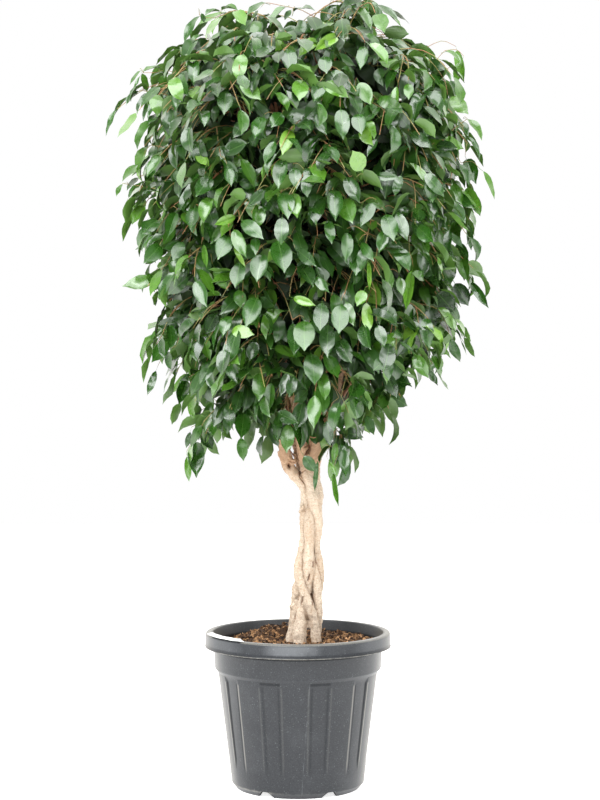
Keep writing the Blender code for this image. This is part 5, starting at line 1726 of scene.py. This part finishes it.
class LeafMaker:
    def __init__(self, plan):
        self.plan = plan
        self.rng = random.Random(plan["seed"])
        template = leafTemplate(plan)
        self.flat = pointsOf(template)
        self.faces = []
        for face in template.data.polygons:
            self.faces += self.split(list(face.vertices))
        bpy.data.objects.remove(template)
        self.stops = np.array([ring[0] for ring in plan["rings"]])
        self.ring = np.argmin(np.abs(self.flat[:, 0][:, None] - self.stops[None, :]), axis=1)
        self.halves = np.array([ring[1] for ring in plan["rings"]])[self.ring]
        bends = [(-1.0, 0.0), (0.0, leafPlan["petioleBend"])]
        bends += [(along, bend) for along, _, bend in leafPlan["stations"]] + [(1.0, 1.0)]
        self.bend = np.interp(self.stops, [stop for stop, _ in bends], [bend for _, bend in bends])
        self.uv = np.array([(self.flat[corner][0], 0.5 + self.flat[corner][1])
                            for face in self.faces for corner in face], np.float32)
        self.under = [float(np.mean(self.flat[list(face), 2]) < 0) for face in self.faces]

    def split(self, corners):  # two triangles from the outer lower corner, alike above and below
        order = [(round(self.flat[corner][0], 4), -abs(self.flat[corner][1])) for corner in corners]
        first = order.index(min(order))
        a, b, c, d = corners[first:] + corners[:first]
        return [(a, b, c), (a, c, d)]

    def points(self, pose, share):
        root, azimuth, tilt, rise, fall, blade = pose
        rng = self.rng
        curl = rng.uniform(*self.plan["curl"]) * (0.4 if share else 1.0)
        curl = curl * np.clip(self.stops - 0.3, 0, 1) / 0.7
        elevation = np.radians(rise + (fall - rise) * self.bend - curl)
        reach = np.where(self.stops < 0, leafPlan["petiole"] * (1 + self.stops),
                         leafPlan["petiole"] + blade * self.stops)
        middle = (elevation[1:] + elevation[:-1]) / 2
        steps = np.diff(reach)
        out = np.concatenate([[0], np.cumsum(np.cos(middle) * steps)])
        up = np.concatenate([[0], np.cumsum(np.sin(middle) * steps)])
        side = self.flat[:, 1] * blade * (share or rng.uniform(*self.plan["width"]))
        spread = np.where(self.flat[:, 0] > 0, np.abs(self.flat[:, 1]), 0)
        fold = rng.uniform(*self.plan["fold"])
        wave = rng.uniform(*self.plan["wave"])
        turn = rng.uniform(0, math.tau)
        ripple = np.sin(9 * self.flat[:, 0] + turn + 1.3 * np.sign(self.flat[:, 1])) * wave
        rise2 = (fold * spread - 0.9 * spread ** 2 + ripple * (spread / 0.25) ** 2) * blade
        twist = rng.uniform(-0.5, 0.5) * (0.3 if share else 1.0) * np.clip(self.flat[:, 0], 0, 1)
        lift = rise2 + self.flat[:, 2] * blade + side * np.sin(twist)
        side = side * np.cos(twist)
        angle = elevation[self.ring]
        flatOut = out[self.ring] - np.sin(angle) * lift
        flatUp = up[self.ring] + np.cos(angle) * lift
        ahead = heading(azimuth)
        across = Vector((0, 0, 1)).cross(ahead)
        lean = Matrix.Rotation(math.radians(tilt), 3, ahead)
        axes = np.array([list(lean @ ahead), list(lean @ across), list(lean @ Vector((0, 0, 1)))])
        return np.array(list(root)) + np.stack([flatOut, side, flatUp], axis=1) @ axes

    def mesh(self, name, leaves, look):
        points = np.concatenate([self.points(pose, share) for pose, _, share, _ in leaves])
        count = len(self.flat)
        faces = []
        for index in range(len(leaves)):
            faces += [tuple(index * count + corner for corner in face) for face in self.faces]
        mesh = bpy.data.meshes.new(name)
        mesh.from_pydata(points.tolist(), [], faces)
        layer = mesh.uv_layers.new(name="blade")
        layer.data.foreach_set("uv", np.tile(self.uv, (len(leaves), 1)).ravel())
        made = bpy.data.objects.new(name, mesh)
        bpy.context.scene.collection.objects.link(made)
        addValues(made, "tone", np.repeat([tone for _, tone, _, _ in leaves], count))
        # how much painted shade each leaf gets
        addValues(made, "deep", np.repeat([deep for _, _, _, deep in leaves], count))
        addValues(made, "under", np.tile(self.under, len(leaves)), "FACE")
        wear(made, look)
        return made


def taperedRoute(route, thick, thin, steps):
    fine = smoothRoute(route, steps)
    return fine, [thick + (thin - thick) * index / steps for index in range(steps + 1)]


def edgeAndDepth(place):  # how near the outline a leaf is as seen, used for a lighter tone that is partly painted light through the leaf, and how deep in the crown, used for painted shade
    x, z = asSeen(place)
    levels = [row[0] for row in fillPlan["sides"]]
    left = np.interp(z, levels, [row[1] for row in fillPlan["sides"]])
    right = np.interp(z, levels, [row[2] for row in fillPlan["sides"]])
    near = max(0.30 * (1 - (x - left) / 0.12), 0.16 * (1 - (right - x) / 0.10), 0.0)
    rows = crownPlan["rows"]
    level = place.z - crownPlan["tilt"] * place.x
    reach = np.interp(level, [row[0] for row in rows], [row[1] for row in rows])
    share = math.hypot(place.x, place.y) / max(reach, 0.1)
    shaded = float(np.interp(level, (0.85, 1.0, 1.70, 1.84), (0.3, 1.0, 1.0, 0.0)))
    return near, shaded * min(1.0, max(0.0, (0.90 - share) / 0.34))


def buildCrown(sprays):
    maker = LeafMaker(bladePlan)
    leaf = leafLook(bladePlan)
    greenTwig = twigLook("green_twig", (0.33, 0.150, 0.070), (0.26, 0.25, 0.08))
    rng = random.Random(crownPlan["seed"])
    homes = [spray for spray in sprays if spray["name"].startswith("spray_")]
    groups = {spray["name"]: [spray] for spray in homes}
    for spray in sprays:
        if spray not in homes:
            nearest = min(homes, key=lambda home: (home["main"][2] - spray["main"][2]).length)
            groups[nearest["name"]].append(spray)
    total = 0
    for name, members in groups.items():
        leaves = []
        twigs = []
        for spray in members:
            age = rng.uniform(0.0, 0.32)
            for pose in spray["leaves"]:
                young = rng.random() < bladePlan["youngShare"]
                # near the outline as seen, leaves get a lighter tone: fresher leaves, and painted light
                # shining through them; deep holds their painted shade
                near, deep = edgeAndDepth(leafMiddle(pose))
                if young:
                    tone = rng.uniform(bladePlan["youngTone"][0], bladePlan["youngTone"][1] - near)
                else:
                    tone = min(bladePlan["lightest"], age + rng.uniform(0.0, bladePlan["toneSpread"]) + near)
                leaves.append((pose, tone, None, deep))
            leaves += [(pose, tone, share, 0.0) for pose, tone, share in spray["marks"]]
            twigs.append(taperedRoute(spray["main"], 0.0017, 0.0008, 8))
            for side in spray["sides"]:
                twigs.append(taperedRoute(side, 0.0012, 0.0007, 5))
            for stalk in spray["stalks"]:
                twigs.append(taperedRoute(stalk, 0.0008, 0.0005, 6))
        blades = maker.mesh(name + "_blades", leaves, leaf)
        stalks = tubes(name + "_twigs", twigs, 0)
        wear(stalks, greenTwig)
        bough = joined(name.replace("spray", "bough"), [blades, stalks])
        smooth(bough, 60)
        settle(bough, name)
        total += len(leaves)
    print("crown", total, "leaves")


# The room: a pale floor, soft lights and the photograph's camera.

roomPlan = {
    "floor": (0.93, 0.93, 0.93), "floorGlow": 0.75, "skyBack": 1.55, "skyFront": 0.26, "skySoft": 0.25,
    "warm": (1.0, 0.985, 0.955), "cool": (0.98, 0.99, 1.0),
    "lights": (("key", (-2.4, -3.3, 3.6), 3.2, 7.6), ("top", (0.4, -2.0, 4.8), 3.6, 5.6),
               ("fill", (3.1, -2.8, 2.6), 2.6, 3.0), ("low", (0.0, -6.4, 1.1), 2.4, 2.2)),
    "aim": (0.0, 0.0, 1.116), "camera": (0.005, -4.75, 1.066), "focal": 1962, "imageHeight": 800, "drop": 53,
}


def buildRoom(plan):
    allOff()
    bpy.ops.mesh.primitive_plane_add(size=14, location=(0, 0, 0))
    floor = named("floor")
    bpy.ops.object.transform_apply(location=True, rotation=True, scale=True)
    look, shade, shader = newLook("floor", {
        "Roughness": 0.9, "Specular IOR Level": 0.1,
        "Emission Color": (1, 1, 1, 1), "Emission Strength": plan["floorGlow"]})
    shader.inputs["Base Color"].default_value = (*plan["floor"], 1.0)
    wear(floor, look)
    for name, place, size, glow in plan["lights"]:
        lamp = bpy.data.lights.new(name, "AREA")
        lamp.energy = glow * math.pi * size * size
        lamp.size = size
        lamp.color = plan["cool"]
        stand = bpy.data.objects.new(name, lamp)
        stand.location = place
        stand.rotation_euler = (Vector(plan["aim"]) - Vector(place)).to_track_quat("-Z", "Y").to_euler()
        bpy.context.scene.collection.objects.link(stand)
    world = bpy.data.worlds.new("studio")
    bpy.context.scene.world = world
    world.use_nodes = True
    shade = Shade(world.node_tree)
    seen = shade.node("ShaderNodeLightPath", {}, {}, 0)
    behind = shade.node("ShaderNodeTexCoord", {}, {}, 0).part(1).fade(-plan["skySoft"], plan["skySoft"])
    glow = plan["skyFront"] + (plan["skyBack"] - plan["skyFront"]) * behind
    sky = world.node_tree.nodes["Background"]
    colour = shade.mix(seen, plan["warm"], (1.0, 1.0, 1.0))
    strength = glow * (1 - seen) + seen
    world.node_tree.links.new(colour.socket, sky.inputs["Color"])
    world.node_tree.links.new(strength.socket, sky.inputs["Strength"])
    lens = bpy.data.cameras.new("camera")
    lens.lens = lens.sensor_width * plan["focal"] / plan["imageHeight"]
    camera = bpy.data.objects.new("camera", lens)
    camera.location = plan["camera"]
    camera.rotation_euler = (math.pi / 2 - math.atan(plan["drop"] / plan["focal"]), 0, 0)
    bpy.context.scene.collection.objects.link(camera)
    bpy.context.scene.camera = camera
    bpy.context.scene.view_settings.view_transform = "Standard"


buildRoom(roomPlan)
buildPot(potPlan)
buildSoil(soilPlan, potPlan)
buildLabel(labelPlan, potPlan)
limbs = limbRoutes(limbPlan)
sprays = cadSprays(limbs)
print("sprays", len(sprays), "with", sum(len(spray["leaves"]) for spray in sprays), "leaves of the solids")
marks = markedLeaves(markPlan)
sprays = growMore(sprays, limbs, FrontView(markPlan, marks))
growSprigs(markPlan, sprays)
hangMarks(marks, sprays)
armRadii = (twigPlan["armRadius"], 0.0026, 0.0019)
buildTrunk(stemPlan, limbs, [(spray["arm"], armRadii) for spray in sprays] + forkTwigs(forkPlan))
buildCrown(sprays)
